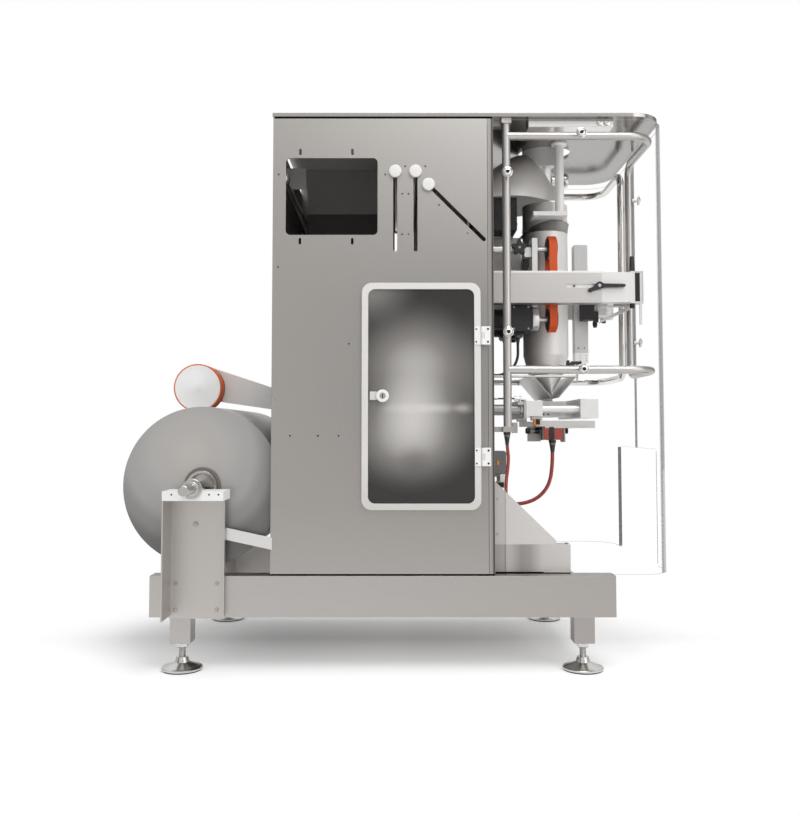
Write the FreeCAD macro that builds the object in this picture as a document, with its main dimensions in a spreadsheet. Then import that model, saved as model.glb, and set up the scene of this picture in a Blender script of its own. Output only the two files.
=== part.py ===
import FreeCAD, Part
import math
import operator
import os
from types import SimpleNamespace

import Sketcher

# Vertical form fill seal machine, in millimetres. X runs along the machine from the film roll to the guard
# doors, Y runs from the operator's side to the far side, and Z runs up from the floor.

SIZES = {
    # base frame of box-section rails on four levelling feet
    "rail_start": -725,
    "rail_length": 1370,
    "rail_width": 60,
    "rail_height": 120,
    "base_width": 750,
    "cross_beam_height": 80,
    "leg_side": 60,
    "leg_height": 76,
    "leg_left": -633,
    "leg_right": 551,
    "foot_height": 82,
    "foot_radius": 60,
    "foot_rim": 7,
    "foot_dish": 16,
    "foot_neck": 22,
    "stud_radius": 10,
    "nut_radius": 17,
    "nut_height": 16,
    # cabinet of folded sheet
    "sheet": 3,
    "cabinet_left": -372,
    "cabinet_right": 291,
    "cabinet_inset": 5,
    "panel_gap": 5,
    "panel_top": 1646,
    "corner_flange": 17,
    "seam": 1,
    "floor_plate": 12,
    "roof_depth": 19,
    "rear_top": 1615,
    "rear_step": 50,
    "film_gap_top": 900,
    "film_gap_bottom": 740,
    "film_outlet_bottom": 1510,
    "film_outlet_top": 1600,
    "film_outlet_half": 150,
    "bay_plate_near": 110,
    "bay_plate_bottom": 1472,
    "roller_radius": 14,
    "guide_roller_x": -343,
    "guide_roller_z": 1464,
    # window and small cut-outs of the near panel
    "window_left": -333,
    "window_right": -57,
    "window_bottom": 1291,
    "window_top": 1525,
    "window_corner": 14,
    "short_slot_inset": 43,
    "short_slot_length": 20,
    "short_slot_radius": 3.8,
    "short_slot_pitch": 157,
    "short_slot_drop": 19,
    "pin_hole_radius": 2.6,
    # film adjusters in their slots
    "slot_radius": 6,
    "adjuster_x": -4,
    "adjuster_pitch": 61,
    "adjuster_z": 1484,
    "slot_drop": 237,
    "slant_x": 96,
    "slant_z": 1444,
    "slant_run": 166,
    "spindle_play": 0.2,
    "knob_radius": 19,
    "knob_depth": 10,
    "knob_gap": 1,
    "washer_radius": 12,
    "washer_depth": 5,
    # top plate
    "plate_gap": 7,
    "plate_depth": 12,
    "plate_left": -375,
    "plate_right": 812,
    "plate_half": 368,
    "plate_corner": 95,
    "inlet_radius": 90,
    "bar_left": 402,
    "bar_right": 660,
    "bar_height": 25,
    "bar_width": 54,
    "bar_setback": 18,
    # cabinet door
    "door_left": -103,
    "door_right": 250,
    "door_bottom": 471,
    "door_top": 1144,
    "door_corner": 30,
    "door_border": 19,
    "door_depth": 12,
    "door_gap": 3,
    "door_lap": 14,
    "glass_depth": 6,
    "glass_play": 0.3,
    "hinge_plate_width": 18,
    "hinge_plate_height": 54,
    "hinge_plate_depth": 3,
    "knuckle_radius": 5,
    "hinge_pin_radius": 2.5,
    "pin_play": 0.05,
    "hinge_low": 627,
    "hinge_high": 986,
    "lock_x": -41,
    "lock_z": 807,
    "lock_radius": 19,
    "lock_barrel": 11,
    "lock_proud": 8,
    "cam_reach": 60,
    "cam_width": 22,
    # unwinder
    "roll_x": -578.5,
    "roll_z": 540,
    "roll_radius": 236.5,
    "roll_half": 350,
    "core_bore": 46,
    "chuck_play": 0.2,
    "chuck_depth": 60,
    "chuck_proud": 16,
    "shaft_radius": 15,
    "shaft_half": 582,
    "collar_radius": 28.5,
    "collar_depth": 10,
    "post_left": -665.5,
    "post_right": -502,
    "post_sheet": 4,
    "post_depth": 98,
    "post_bottom": 155,
    "post_bend": 10,
    "post_lip": 16,
    "block_bottom": 505,
    "block_height": 27,
    "block_overhang": 11,
    "shaft_play": 0.05,
    "strut_width": 35,
    "strut_top": 423,
    "strut_fall": 34,
    "strut_lap": 20,
    "strut_foot": 6,
    # drive arm and wheel on the roll
    "wheel_offset": 80,
    "wheel_radius": 79,
    "wheel_width": 60,
    "wheel_near": -84,
    "tyre_depth": 4,
    "wheel_gap": 0.4,
    "axle_radius": 8,
    "axle_proud": 3,
    "arm_depth": 30,
    "arm_gap": 2,
    "arm_end_raise": 22,
    "arm_end_radius": 57,
    "ear_sheet": 6,
    "arm_pivot_x": -290,
    "arm_pivot_z": 781,
    "arm_pivot_radius": 24,
    "pivot_pin_radius": 10,
    "pivot_bar": 40,
    # guards
    "guard_tube": 12.5,
    "guard_post_x": 333,
    "standoff": 14,
    "pane": 6,
    "pane_front": 815,
    "pane_half": 380,
    "pane_corner": 90,
    "pane_back": 324,
    "pane_bottom": 283,
    "pane_gap": 13,
    "pane_meeting": 3,
    "outlet_half": 218,
    "outlet_top": 647,
    "outlet_corner": 34,
    "guard_drop": 36,
    "guard_rise": 171,
    "guard_bend": 75,
    "guard_end_bend": 42,
    "guard_end": 51,
    "stud_size": 6,
    "button_drop": 120,
    "button_rise": 111,
    "button_x": 556,
    "post_foot": 716,
    "bracket_depth": 16,
    "head_bracket_depth": 17,
    "bracket_reach": 15,
    "bracket_side": 16,
    "bracket_arm": 30,
    "guard_pin_radius": 7,
    "guard_pin_length": 22,
    "guard_gap": 0.3,
    # forming set
    "tube_x": 507.5,
    "tube_radius": 76,
    "tube_wall": 2,
    "tube_bottom": 924,
    "tube_top": 1470,
    "tube_taper": 34,
    "tube_mouth": 67,
    "fit_gap": 0.3,
    "collar_bottom": 1372,
    "collar_rise": 36,
    "collar_flare": 20,
    "shoulder_left": 300,
    "shoulder_right": 536,
    "shoulder_base": 1472,
    "shoulder_ridge": 176,
    "shoulder_end": 104,
    "shoulder_half": 148,
    "shoulder_tip_half": 82,
    "shoulder_sheet": 3,
    "shoulder_box_right": 396,
    "shoulder_box_bottom": 1364,
    "shoulder_box_half": 122,
    "clamp_bottom": 1409,
    "clamp_depth": 14,
    "clamp_left": 448,
    "clamp_right": 560,
    "clamp_half": 135,
    "hanger_x": 537,
    "hanger_y": 118,
    "hanger_radius": 15,
    "film_wrap": 1,
    "film_half": 120,
    "film_fold": 2,
    "deflector_top": 885,
    "deflector_bottom": 812,
    "deflector_top_half": 73,
    "deflector_bottom_half": 12,
    "deflector_half": 172,
    "deflector_arm": 5,
    "deflector_arm_height": 14,
    # pull belts
    "belt_width": 26,
    "belt_depth": 5,
    "pulley_radius": 38,
    "pulley_low": 1068,
    "pulley_span": 231.5,
    "belt_shaft": 8,
    "carrier_plate": 12,
    "carrier_x": 440,
    "motor_side": 88,
    "motor_round": 34,
    "belt_arm": 26,
    "star_x": 399,
    "star_radius": 25,
    "star_depth": 14,
    "star_lobe": 7,
    "star_stem": 6,
    "star_neck": 8,
    # vertical seal
    "seal_left": 603,
    "seal_depth": 45,
    "seal_half": 22,
    "seal_bottom": 932,
    "seal_top": 1335,
    "guide_rod": 8,
    "guide_low": 1118,
    "guide_high": 1202,
    "guide_reach": 58,
    "guide_block_left": 680,
    "guide_block_edge": 23,
    "cross_bar_left": 712,
    "cross_bar_right": 752,
    "cross_bar_height": 60,
    "beam_right": 651,
    "beam_outer": 215,
    "beam_width": 40,
    "beam_bottom": 1108,
    "beam_height": 103,
    "beam_wall": 3,
    "beam_play": 0.3,
    "beam_inner_left": 480,
    "beam_slot_left": 539,
    "beam_slot_radius": 6,
    "bracket_left": 758,
    "bracket_right": 783,
    "lever_x": 641,
    "lever_z": 1163,
    "lever_hub": 11,
    "lever_length": 82,
    "lever_tail": 30,
    "lever_depth": 12,
    "lever_stud": 4,
    # cross seal jaws
    "jaw_rod": 13,
    "jaw_tube": 15,
    "jaw_rod_y": 165,
    "jaw_rod_z": 773,
    "jaw_rod_left": 310,
    "jaw_block_left": 411,
    "jaw_block_right": 463,
    "jaw_block_bottom": 750,
    "jaw_block_top": 799,
    "jaw_flange": 8,
    "crossbar_left": 583,
    "crossbar_right": 640,
    "crossbar_bottom": 744,
    "crossbar_top": 805,
    "crossbar_half": 195,
    "jaw_half": 140,
    "jaw_meeting": 0.3,
    "jaw_link_left": 549,
    "jaw_link_half": 100,
    "side_bar_left": 441,
    "side_bar_right": 629,
    "side_bar_inner": 145,
    "side_bar_depth": 20,
    "side_bar_drop": 14,
    "heater_left": 472,
    "heater_right": 543,
    "heater_inner": 132,
    "heater_height": 42,
    # front base box and junction box
    "box_right": 521,
    "box_half": 330,
    "box_height": 86,
    "channel_depth": 36,
    "gusset_top": 557,
    "gusset_right": 478,
    "gusset_toe": 12,
    "junction_right": 350,
    "junction_near": -150,
    "junction_width": 80,
    "junction_bottom": 556,
    "junction_height": 82,
    # cables and their glands
    "heater_cable": 12,
    "guard_switch_cable": 10,
    "motor_cable": 9,
    "gland_wall": 4,
}

document = FreeCAD.newDocument("form_fill_seal_machine")
sheet = document.addObject("Spreadsheet::Sheet", "Sizes")
for row, (word, number) in enumerate(SIZES.items(), start=1):
    sheet.set(f"A{row}", word)
    sheet.set(f"B{row}", str(number))
    sheet.setAlias(f"B{row}", word)
document.recompute()

SIGNS = {"+": operator.add, "-": operator.sub, "*": operator.mul, "/": operator.truediv}


class Size:
    """A length that knows its formula in the sheet and its present value."""

    def __init__(self, formula, value):
        self.formula = formula
        self.value = value

    def __add__(self, other):
        return combine(self, "+", other)

    def __radd__(self, other):
        return combine(other, "+", self)

    def __sub__(self, other):
        return combine(self, "-", other)

    def __rsub__(self, other):
        return combine(other, "-", self)

    def __mul__(self, other):
        return combine(self, "*", other)

    def __rmul__(self, other):
        return combine(other, "*", self)

    def __truediv__(self, other):
        return combine(self, "/", other)

    def __neg__(self):
        return combine(0, "-", self)


def sized(number):
    return number if isinstance(number, Size) else Size(f"({number})", number)


def combine(left, sign, right):
    left = sized(left)
    right = sized(right)
    return Size(f"({left.formula} {sign} {right.formula})", SIGNS[sign](left.value, right.value))


def root(size):
    return Size(f"sqrt({size.formula})", math.sqrt(size.value))


at = SimpleNamespace(**{word: Size(f"Sizes.{word}", sheet.get(word)) for word in SIZES})


def bind(piece, place, size):
    piece.setExpression(place, sized(size).formula)


nodes = []


def keep(piece):
    """Marks a finished sub-part, which gets a file of its own."""
    nodes.append(piece)
    return piece


def block(name, x, y, z):
    """A box between the two lengths given along each axis."""
    piece = document.addObject("Part::Box", name)
    for side, axis, (low, high) in (("Length", "x", x), ("Width", "y", y), ("Height", "z", z)):
        bind(piece, side, sized(high) - low)
        bind(piece, f"Placement.Base.{axis}", low)
    return piece


TURNS = {
    "x": FreeCAD.Rotation(FreeCAD.Vector(0, 1, 0), 90),
    "y": FreeCAD.Rotation(FreeCAD.Vector(1, 0, 0), -90),
    "z": FreeCAD.Rotation(),
}


def rod(name, axis, centre, span, radius):
    """A round bar along an axis, centred on two lengths given in the order of the other axes."""
    piece = document.addObject("Part::Cylinder", name)
    piece.Placement = FreeCAD.Placement(FreeCAD.Vector(), TURNS[axis])
    bind(piece, "Radius", radius)
    bind(piece, "Height", sized(span[1]) - span[0])
    for other, length in zip("xyz".replace(axis, ""), centre):
        bind(piece, f"Placement.Base.{other}", length)
    bind(piece, f"Placement.Base.{axis}", span[0])
    return piece


def fused(name, *pieces):
    piece = document.addObject("Part::MultiFuse", name)
    piece.Shapes = list(pieces)
    piece.Refine = True
    return piece


def set_of(name, *pieces):
    """Like pieces that don't touch, kept together in one sub-part."""
    piece = document.addObject("Part::Compound", name)
    piece.Links = list(pieces)
    return piece


def cut(name, base, *tools):
    piece = document.addObject("Part::Cut", name)
    piece.Base = base
    piece.Tool = tools[0] if len(tools) == 1 else set_of(name + "_tools", *tools)
    return piece


def mirrored(name, source):
    """The same piece on the far side of the machine's centre plane."""
    piece = document.addObject("Part::Mirroring", name)
    piece.Source = source
    piece.Base = FreeCAD.Vector(0, 0, 0)
    piece.Normal = FreeCAD.Vector(0, 1, 0)
    return piece


def body(name):
    return document.addObject("PartDesign::Body", name)


def sketch_on(owner, role, offset=0):
    """A sketch on one of the body's origin planes, raised along the plane's normal."""
    sketch = owner.newObject("Sketcher::SketchObject", owner.Name + "_sketch")
    plane = next(feature for feature in owner.Origin.OriginFeatures if feature.Role == role)
    sketch.AttachmentSupport = (plane, [""])
    sketch.MapMode = "FlatFace"
    bind(sketch, "AttachmentOffset.Base.z", offset)
    return sketch


def limit(sketch, kind, size, *where):
    size = sized(size)
    index = sketch.addConstraint(Sketcher.Constraint(kind, *where, size.value))
    sketch.setExpression(f"Constraints[{index}]", size.formula)


def hold(sketch, curve, point, across, up):
    limit(sketch, "DistanceX", across, -1, 1, curve, point)
    limit(sketch, "DistanceY", up, -1, 1, curve, point)


NORMAL = FreeCAD.Vector(0, 0, 1)


def circle(sketch, across, up, radius):
    centre = FreeCAD.Vector(sized(across).value, sized(up).value, 0)
    curve = sketch.addGeometry(Part.Circle(centre, NORMAL, sized(radius).value), False)
    hold(sketch, curve, 3, across, up)
    limit(sketch, "Radius", radius, curve)


def link(sketch, start, start_radius, end, end_radius):
    """A plate's outline round two centres: two arcs joined by their outer tangents."""
    first = FreeCAD.Vector(sized(start[0]).value, sized(start[1]).value, 0)
    last = FreeCAD.Vector(sized(end[0]).value, sized(end[1]).value, 0)
    small = sized(start_radius).value
    large = sized(end_radius).value
    run = last - first
    heading = math.atan2(run.y, run.x)
    lean = math.acos((small - large) / run.Length)
    arcs = []
    for centre, radius, begin, finish in (
        (first, small, heading + lean, heading - lean + 2 * math.pi),
        (last, large, heading - lean, heading + lean),
    ):
        arc = Part.ArcOfCircle(Part.Circle(centre, NORMAL, radius), begin, finish)
        arcs.append(sketch.addGeometry(arc, False))
    sides = []
    for leave, arrive, angle in ((first, last, heading - lean), (last, first, heading + lean)):
        away = FreeCAD.Vector(math.cos(angle), math.sin(angle), 0)
        reach = {0: small, 1: large}
        begin = leave + away * reach[int(leave is last)]
        finish = arrive + away * reach[int(arrive is last)]
        sides.append(sketch.addGeometry(Part.LineSegment(begin, finish), False))
    for one, its_end, other, other_end in (
        (arcs[0], 2, sides[0], 1),
        (sides[0], 2, arcs[1], 1),
        (arcs[1], 2, sides[1], 1),
        (sides[1], 2, arcs[0], 1),
    ):
        sketch.addConstraint(Sketcher.Constraint("Tangent", one, its_end, other, other_end))
    hold(sketch, arcs[0], 3, *start)
    hold(sketch, arcs[1], 3, *end)
    limit(sketch, "Radius", start_radius, arcs[0])
    limit(sketch, "Radius", end_radius, arcs[1])


def outline(sketch, corners):
    """A closed outline through corners (across, up) or (across, up, radius); a rounded corner is square."""
    count = len(corners)
    spots = [FreeCAD.Vector(sized(c[0]).value, sized(c[1]).value, 0) for c in corners]
    arcs = []
    ends = []
    for i, corner in enumerate(corners):
        if len(corner) == 2:
            arcs.append(None)
            ends.append((spots[i], spots[i]))
            continue
        radius = sized(corner[2])
        back = (spots[i - 1] - spots[i]).normalize()
        ahead = (spots[(i + 1) % count] - spots[i]).normalize()
        inward = back + ahead
        centre = spots[i] + inward * radius.value
        arrive = spots[i] + back * radius.value
        leave = spots[i] + ahead * radius.value
        left_turn = (-back).cross(ahead).z > 0
        begin, finish = (arrive, leave) if left_turn else (leave, arrive)
        angles = [math.atan2((p - centre).y, (p - centre).x) for p in (begin, finish)]
        if angles[1] < angles[0]:
            angles[1] += 2 * math.pi
        arc = sketch.addGeometry(
            Part.ArcOfCircle(Part.Circle(centre, NORMAL, radius.value), *angles), False
        )
        hold(sketch, arc, 3, corner[0] + radius * round(inward.x), corner[1] + radius * round(inward.y))
        limit(sketch, "Radius", radius, arc)
        arcs.append((arc, 1 if left_turn else 2, 2 if left_turn else 1))
        ends.append((arrive, leave))
    lines = []
    for i in range(count):
        side = Part.LineSegment(ends[i][1], ends[(i + 1) % count][0])
        lines.append(sketch.addGeometry(side, False))
    for i, corner in enumerate(corners):
        before = lines[i - 1]
        after = lines[i]
        if arcs[i] is None:
            sketch.addConstraint(Sketcher.Constraint("Coincident", before, 2, after, 1))
            hold(sketch, after, 1, corner[0], corner[1])
        else:
            arc, entry, way_out = arcs[i]
            sketch.addConstraint(Sketcher.Constraint("Tangent", before, 2, arc, entry))
            sketch.addConstraint(Sketcher.Constraint("Tangent", arc, way_out, after, 1))


def rectangle(sketch, left, bottom, right, top, corner=None):
    spots = [(left, bottom), (right, bottom), (right, top), (left, top)]
    if corner is not None:
        spots = [spot + (corner,) for spot in spots]
    outline(sketch, spots)


def pad(owner, sketch, depth, backwards=False, both_ways=False):
    feature = owner.newObject("PartDesign::Pad", owner.Name + "_pad")
    feature.Profile = sketch
    bind(feature, "Length", depth)
    feature.Reversed = backwards
    feature.Midplane = both_ways
    owner.Tip = feature
    return feature


def pocket_through(owner, sketch):
    feature = owner.newObject("PartDesign::Pocket", owner.Name + "_pocket")
    feature.Profile = sketch
    feature.Type = "ThroughAll"
    feature.Midplane = True
    owner.Tip = feature
    return feature


def revolved(owner, role_axis, profile_role, corners):
    """A turned piece: its half outline revolved round one of the sketch's own axes."""
    sketch = sketch_on(owner, profile_role)
    outline(sketch, corners)
    feature = owner.newObject("PartDesign::Revolution", owner.Name + "_turning")
    feature.Profile = sketch
    feature.ReferenceAxis = (sketch, [role_axis])
    feature.Angle = 360
    owner.Tip = feature
    return feature


def placed(piece, x=0, y=0, z=0):
    """Moves a turned piece from its own origin to its place on the machine."""
    for axis, length in (("x", x), ("y", y), ("z", z)):
        bind(piece, f"Placement.Base.{axis}", length)
    return piece


def path_of(points, radii):
    """Straight runs joined by tangent arcs, one arc at each inner point."""
    edges = []
    start = points[0]
    for before, corner, after, radius in zip(points, points[1:], points[2:], radii):
        back = (before - corner).normalize()
        ahead = (after - corner).normalize()
        half_turn = (math.pi - back.getAngle(ahead)) / 2
        cut_back = radius * math.tan(half_turn)
        begin = corner + back * cut_back
        finish = corner + ahead * cut_back
        middle_way = (back + ahead).normalize()
        middle = corner + middle_way * (radius / math.cos(half_turn) - radius)
        edges.append(Part.LineSegment(start, begin).toShape())
        edges.append(Part.Arc(begin, middle, finish).toShape())
        start = finish
    edges.append(Part.LineSegment(start, points[-1]).toShape())
    return Part.Wire(edges)


def swept(path, radius):
    start = path.Edges[0]
    heading = start.tangentAt(start.FirstParameter)
    ring = Part.Wire([Part.Circle(path.Edges[0].Vertexes[0].Point, heading, radius).toShape()])
    return path.makePipeShell([ring], True, True)


def feature(name, shape):
    piece = document.addObject("Part::Feature", name)
    piece.Shape = shape
    return piece


# Heights and faces that several pieces share.
leg_top = at.foot_height + at.leg_height
rail_top = leg_top + at.rail_height
rail_end = at.rail_start + at.rail_length
base_half = at.base_width / 2
rail_inner = base_half - at.rail_width
side_face = base_half - at.cabinet_inset
side_inner = side_face - at.sheet
panel_bottom = rail_top + at.panel_gap
front_inner = at.cabinet_right - at.sheet
panel_right = at.cabinet_right - at.corner_flange - at.seam
floor_top = rail_top + at.floor_plate
plate_bottom = at.panel_top + at.plate_gap
roof_bottom = plate_bottom - at.roof_depth

# Base frame: two rails of box section, closed at their ends, with cross beams welded between them.
keep(
    set_of(
        "base_rails",
        *[
            block(f"rail_{side}", (at.rail_start, rail_end), span, (leg_top, rail_top))
            for side, span in (("near", (-base_half, -rail_inner)), ("far", (rail_inner, base_half)))
        ],
    )
)
beam_places = (at.leg_left, (at.leg_left + at.leg_right) / 2, at.leg_right)
keep(
    set_of(
        "base_cross_beams",
        *[
            block(
                f"cross_beam_{n}",
                (x - at.leg_side / 2, x + at.leg_side / 2),
                (-rail_inner, rail_inner),
                (leg_top, leg_top + at.cross_beam_height),
            )
            for n, x in enumerate(beam_places, start=1)
        ],
    )
)

# Legs: four square stubs under the rails' ends.
leg_y = base_half - at.rail_width / 2
corner_places = [(x, y) for x in (at.leg_left, at.leg_right) for y in (-leg_y, leg_y)]
keep(
    set_of(
        "base_legs",
        *[
            block(
                f"leg_{n}",
                (x - at.leg_side / 2, x + at.leg_side / 2),
                (y - at.leg_side / 2, y + at.leg_side / 2),
                (at.foot_height, leg_top),
            )
            for n, (x, y) in enumerate(corner_places, start=1)
        ],
    )
)

# Levelling feet: a turned disc with a sloped top, a conical neck, a lock nut and a stud into the leg.
feet = []
for n, (x, y) in enumerate(corner_places, start=1):
    foot = body(f"foot_{n}")
    revolved(
        foot,
        "V_Axis",
        "XZ_Plane",
        [
            (0, 0),
            (at.foot_radius, 0),
            (at.foot_radius, at.foot_rim),
            (at.foot_neck, at.foot_rim + at.foot_dish),
            (at.nut_radius, at.foot_rim + 2 * at.foot_dish),
            (at.stud_radius, at.foot_rim + 2 * at.foot_dish),
            (at.stud_radius, at.foot_height - at.nut_height),
            (at.nut_radius, at.foot_height - at.nut_height),
            (at.nut_radius, at.foot_height),
            (0, at.foot_height),
        ],
    )
    feet.append(placed(foot, x, y))
keep(set_of("levelling_feet", *feet))

# Cabinet floor on the rails.
keep(
    block(
        "cabinet_floor",
        (at.cabinet_left + at.rear_step + at.sheet, front_inner),
        (-side_inner, side_inner),
        (rail_top, floor_top),
    )
)

# Roof tray that carries the top plate, with the plate that closes the back of the film bay.
roof_tray = block(
    "roof_tray",
    (at.cabinet_left + at.sheet, front_inner),
    (-side_inner, side_inner),
    (roof_bottom, plate_bottom),
)
bay_plate = block(
    "bay_plate",
    (at.cabinet_left + at.rear_step + at.sheet, at.window_right),
    (at.bay_plate_near, at.bay_plate_near + at.sheet),
    (at.bay_plate_bottom, roof_bottom + at.sheet),
)

# Near side panel: window, adjuster slots, short slots, pin holes and the opening behind the glazed door.
door_hole_left = at.door_left + at.door_lap
door_hole_right = at.door_right - at.door_lap
adjuster_xs = (at.adjuster_x, at.adjuster_x + at.adjuster_pitch)
slot_low = at.adjuster_z - at.slot_drop


def adjuster_slots(sketch):
    for x in adjuster_xs:
        link(sketch, (x, slot_low), at.slot_radius, (x, at.adjuster_z), at.slot_radius)
    link(
        sketch,
        (at.slant_x, at.slant_z),
        at.slot_radius,
        (at.slant_x + at.slant_run, at.slant_z - at.slant_run),
        at.slot_radius,
    )


near_panel = body("cabinet_near_panel")
near_sketch = sketch_on(near_panel, "XZ_Plane", side_face)
rectangle(near_sketch, at.cabinet_left, panel_bottom, panel_right, at.panel_top)
rectangle(
    near_sketch, at.window_left, at.window_bottom, at.window_right, at.window_top, at.window_corner
)
rectangle(
    near_sketch,
    door_hole_left,
    at.door_bottom + at.door_lap,
    door_hole_right,
    at.door_top - at.door_lap,
    at.door_corner - at.door_lap,
)
adjuster_slots(near_sketch)
short_x = at.window_left + at.short_slot_inset
for x in (short_x, short_x + at.short_slot_pitch):
    for middle in (at.window_top + at.short_slot_drop, at.window_bottom - at.short_slot_drop):
        reach = at.short_slot_length / 2 - at.short_slot_radius
        link(
            near_sketch,
            (x, middle - reach),
            at.short_slot_radius,
            (x, middle + reach),
            at.short_slot_radius,
        )
# Small pin holes, each measured across and up from the corner or slot it belongs to.
PIN_HOLES = (
    ((at.window_left, at.window_top), ((-22, -50),)),
    ((at.window_left, at.window_bottom), ((-22, -97),)),
    ((at.window_right, at.window_top), ((23, -50),)),
    ((at.adjuster_x, at.adjuster_z), ((30, 16), (91, 16), (21, -68), (40, -68))),
    ((at.adjuster_x, slot_low), ((21, 46), (40, 46))),
    ((at.slant_x, at.slant_z), ((32, -62), (118, -148))),
    ((at.door_left, at.door_top), ((-39, -181),)),
    ((at.cabinet_left, at.lock_z), ((12, -12), (56, -118), (139, -118), (200, -118))),
)
for (corner_x, corner_z), spots in PIN_HOLES:
    for across, up in spots:
        circle(near_sketch, corner_x + across, corner_z + up, at.pin_hole_radius)
pad(near_panel, near_sketch, at.sheet, backwards=True)
keep(near_panel)

# Far side panel: plain, with the same adjuster slots.
far_panel = body("cabinet_far_panel")
far_sketch = sketch_on(far_panel, "XZ_Plane", -side_inner)
rectangle(far_sketch, at.cabinet_left, panel_bottom, panel_right, at.panel_top)
adjuster_slots(far_sketch)
pad(far_panel, far_sketch, at.sheet, backwards=True)
keep(far_panel)

# Front panel: one folded sheet whose flanges make the cabinet's front corners, with the film outlet.
front_panel = body("cabinet_front_panel")
fold_sketch = sketch_on(front_panel, "XY_Plane", panel_bottom)
flange_left = at.cabinet_right - at.corner_flange
outline(
    fold_sketch,
    [
        (flange_left, -side_face),
        (at.cabinet_right, -side_face),
        (at.cabinet_right, side_face),
        (flange_left, side_face),
        (flange_left, side_inner),
        (front_inner, side_inner),
        (front_inner, -side_inner),
        (flange_left, -side_inner),
    ],
)
pad(front_panel, fold_sketch, at.panel_top - panel_bottom)
outlet_sketch = sketch_on(front_panel, "YZ_Plane", at.cabinet_right)
rectangle(
    outlet_sketch,
    -at.film_outlet_half,
    at.film_outlet_bottom,
    at.film_outlet_half,
    at.film_outlet_top,
    at.window_corner,
)
pocket_through(front_panel, outlet_sketch)
keep(front_panel)

# Rear panels: the upper one at the back edge, the lower one set in to clear the roll, the film gap between.
rear_upper = block(
    "rear_upper",
    (at.cabinet_left, at.cabinet_left + at.sheet),
    (-side_inner, side_inner),
    (at.film_gap_top, at.rear_top),
)
rear_lower = block(
    "rear_lower",
    (at.cabinet_left + at.rear_step, at.cabinet_left + at.rear_step + at.sheet),
    (-side_inner, side_inner),
    (rail_top, at.film_gap_bottom),
)
keep(set_of("cabinet_rear_panels", rear_upper, rear_lower))

# Guide roller across the film bay, behind the window's edge.
keep(
    rod(
        "guide_roller",
        "y",
        (at.guide_roller_x, at.guide_roller_z),
        (-side_inner, side_inner),
        at.roller_radius,
    )
)

# Top plate over cabinet and forming area, with rounded front corners and the product inlet hole.
top_plate = body("top_plate")
plate_sketch = sketch_on(top_plate, "XY_Plane", plate_bottom)
outline(
    plate_sketch,
    [
        (at.plate_left, -at.plate_half),
        (at.plate_right, -at.plate_half, at.plate_corner),
        (at.plate_right, at.plate_half, at.plate_corner),
        (at.plate_left, at.plate_half),
    ],
)
circle(plate_sketch, at.tube_x, 0, at.inlet_radius)
pad(top_plate, plate_sketch, at.plate_depth)
bar_near = -at.plate_half + at.bar_setback
top_bar = block(
    "top_bar",
    (at.bar_left, at.bar_right),
    (bar_near, bar_near + at.bar_width),
    (plate_bottom - at.bar_height, plate_bottom),
)
keep(fused("cabinet_top", top_plate, roof_tray, bay_plate, top_bar))

# Glazed door: a pale frame with rounded corners round one sheet of frosted glass.
door_back = -side_face - at.door_gap
door_front = door_back - at.door_depth
glass_left = at.door_left + at.door_border
glass_right = at.door_right - at.door_border
glass_bottom = at.door_bottom + at.door_border
glass_top = at.door_top - at.door_border
glass_corner = at.door_corner - at.door_border / 2
door_frame = body("cabinet_door_frame")
door_sketch = sketch_on(door_frame, "XZ_Plane", -door_back)
rectangle(door_sketch, at.door_left, at.door_bottom, at.door_right, at.door_top, at.door_corner)
rectangle(door_sketch, glass_left, glass_bottom, glass_right, glass_top, glass_corner)
pad(door_frame, door_sketch, at.door_depth)
hinge_x = at.door_right + at.knuckle_radius + at.glass_play
hinge_y = door_front - at.knuckle_radius + at.hinge_plate_depth / 2
hinge_zs = (at.hinge_low, at.hinge_high)
half_plate = at.hinge_plate_height / 2
third = at.hinge_plate_height / 6
leaves = []
for n, z in enumerate(hinge_zs, start=1):
    leaves.append(
        block(
            f"door_leaf_{n}",
            (at.door_right - at.hinge_plate_width, hinge_x),
            (door_front - at.hinge_plate_depth, door_front),
            (z - third, z + third),
        )
    )
    knuckle = rod(f"door_knuckle_{n}", "z", (hinge_x, hinge_y), (z - third, z + third), at.knuckle_radius)
    leaves.append(knuckle)
pin_tools = [
    rod(
        f"door_pin_hole_{n}",
        "z",
        (hinge_x, hinge_y),
        (z - half_plate, z + half_plate),
        at.hinge_pin_radius + at.pin_play,
    )
    for n, z in enumerate(hinge_zs, start=1)
]
door_whole = fused("door_whole", door_frame, *leaves)
door_node = cut("cabinet_door", door_whole, *pin_tools)
keep(door_node)
door_glass = body("cabinet_door_glass")
glass_sketch = sketch_on(door_glass, "XZ_Plane", -door_back + at.glass_play)
rectangle(
    glass_sketch,
    glass_left + at.glass_play,
    glass_bottom + at.glass_play,
    glass_right - at.glass_play,
    glass_top - at.glass_play,
    glass_corner - at.glass_play,
)
circle(glass_sketch, at.lock_x, at.lock_z, at.lock_barrel + at.glass_play)
pad(door_glass, glass_sketch, at.glass_depth)
keep(door_glass)

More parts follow.
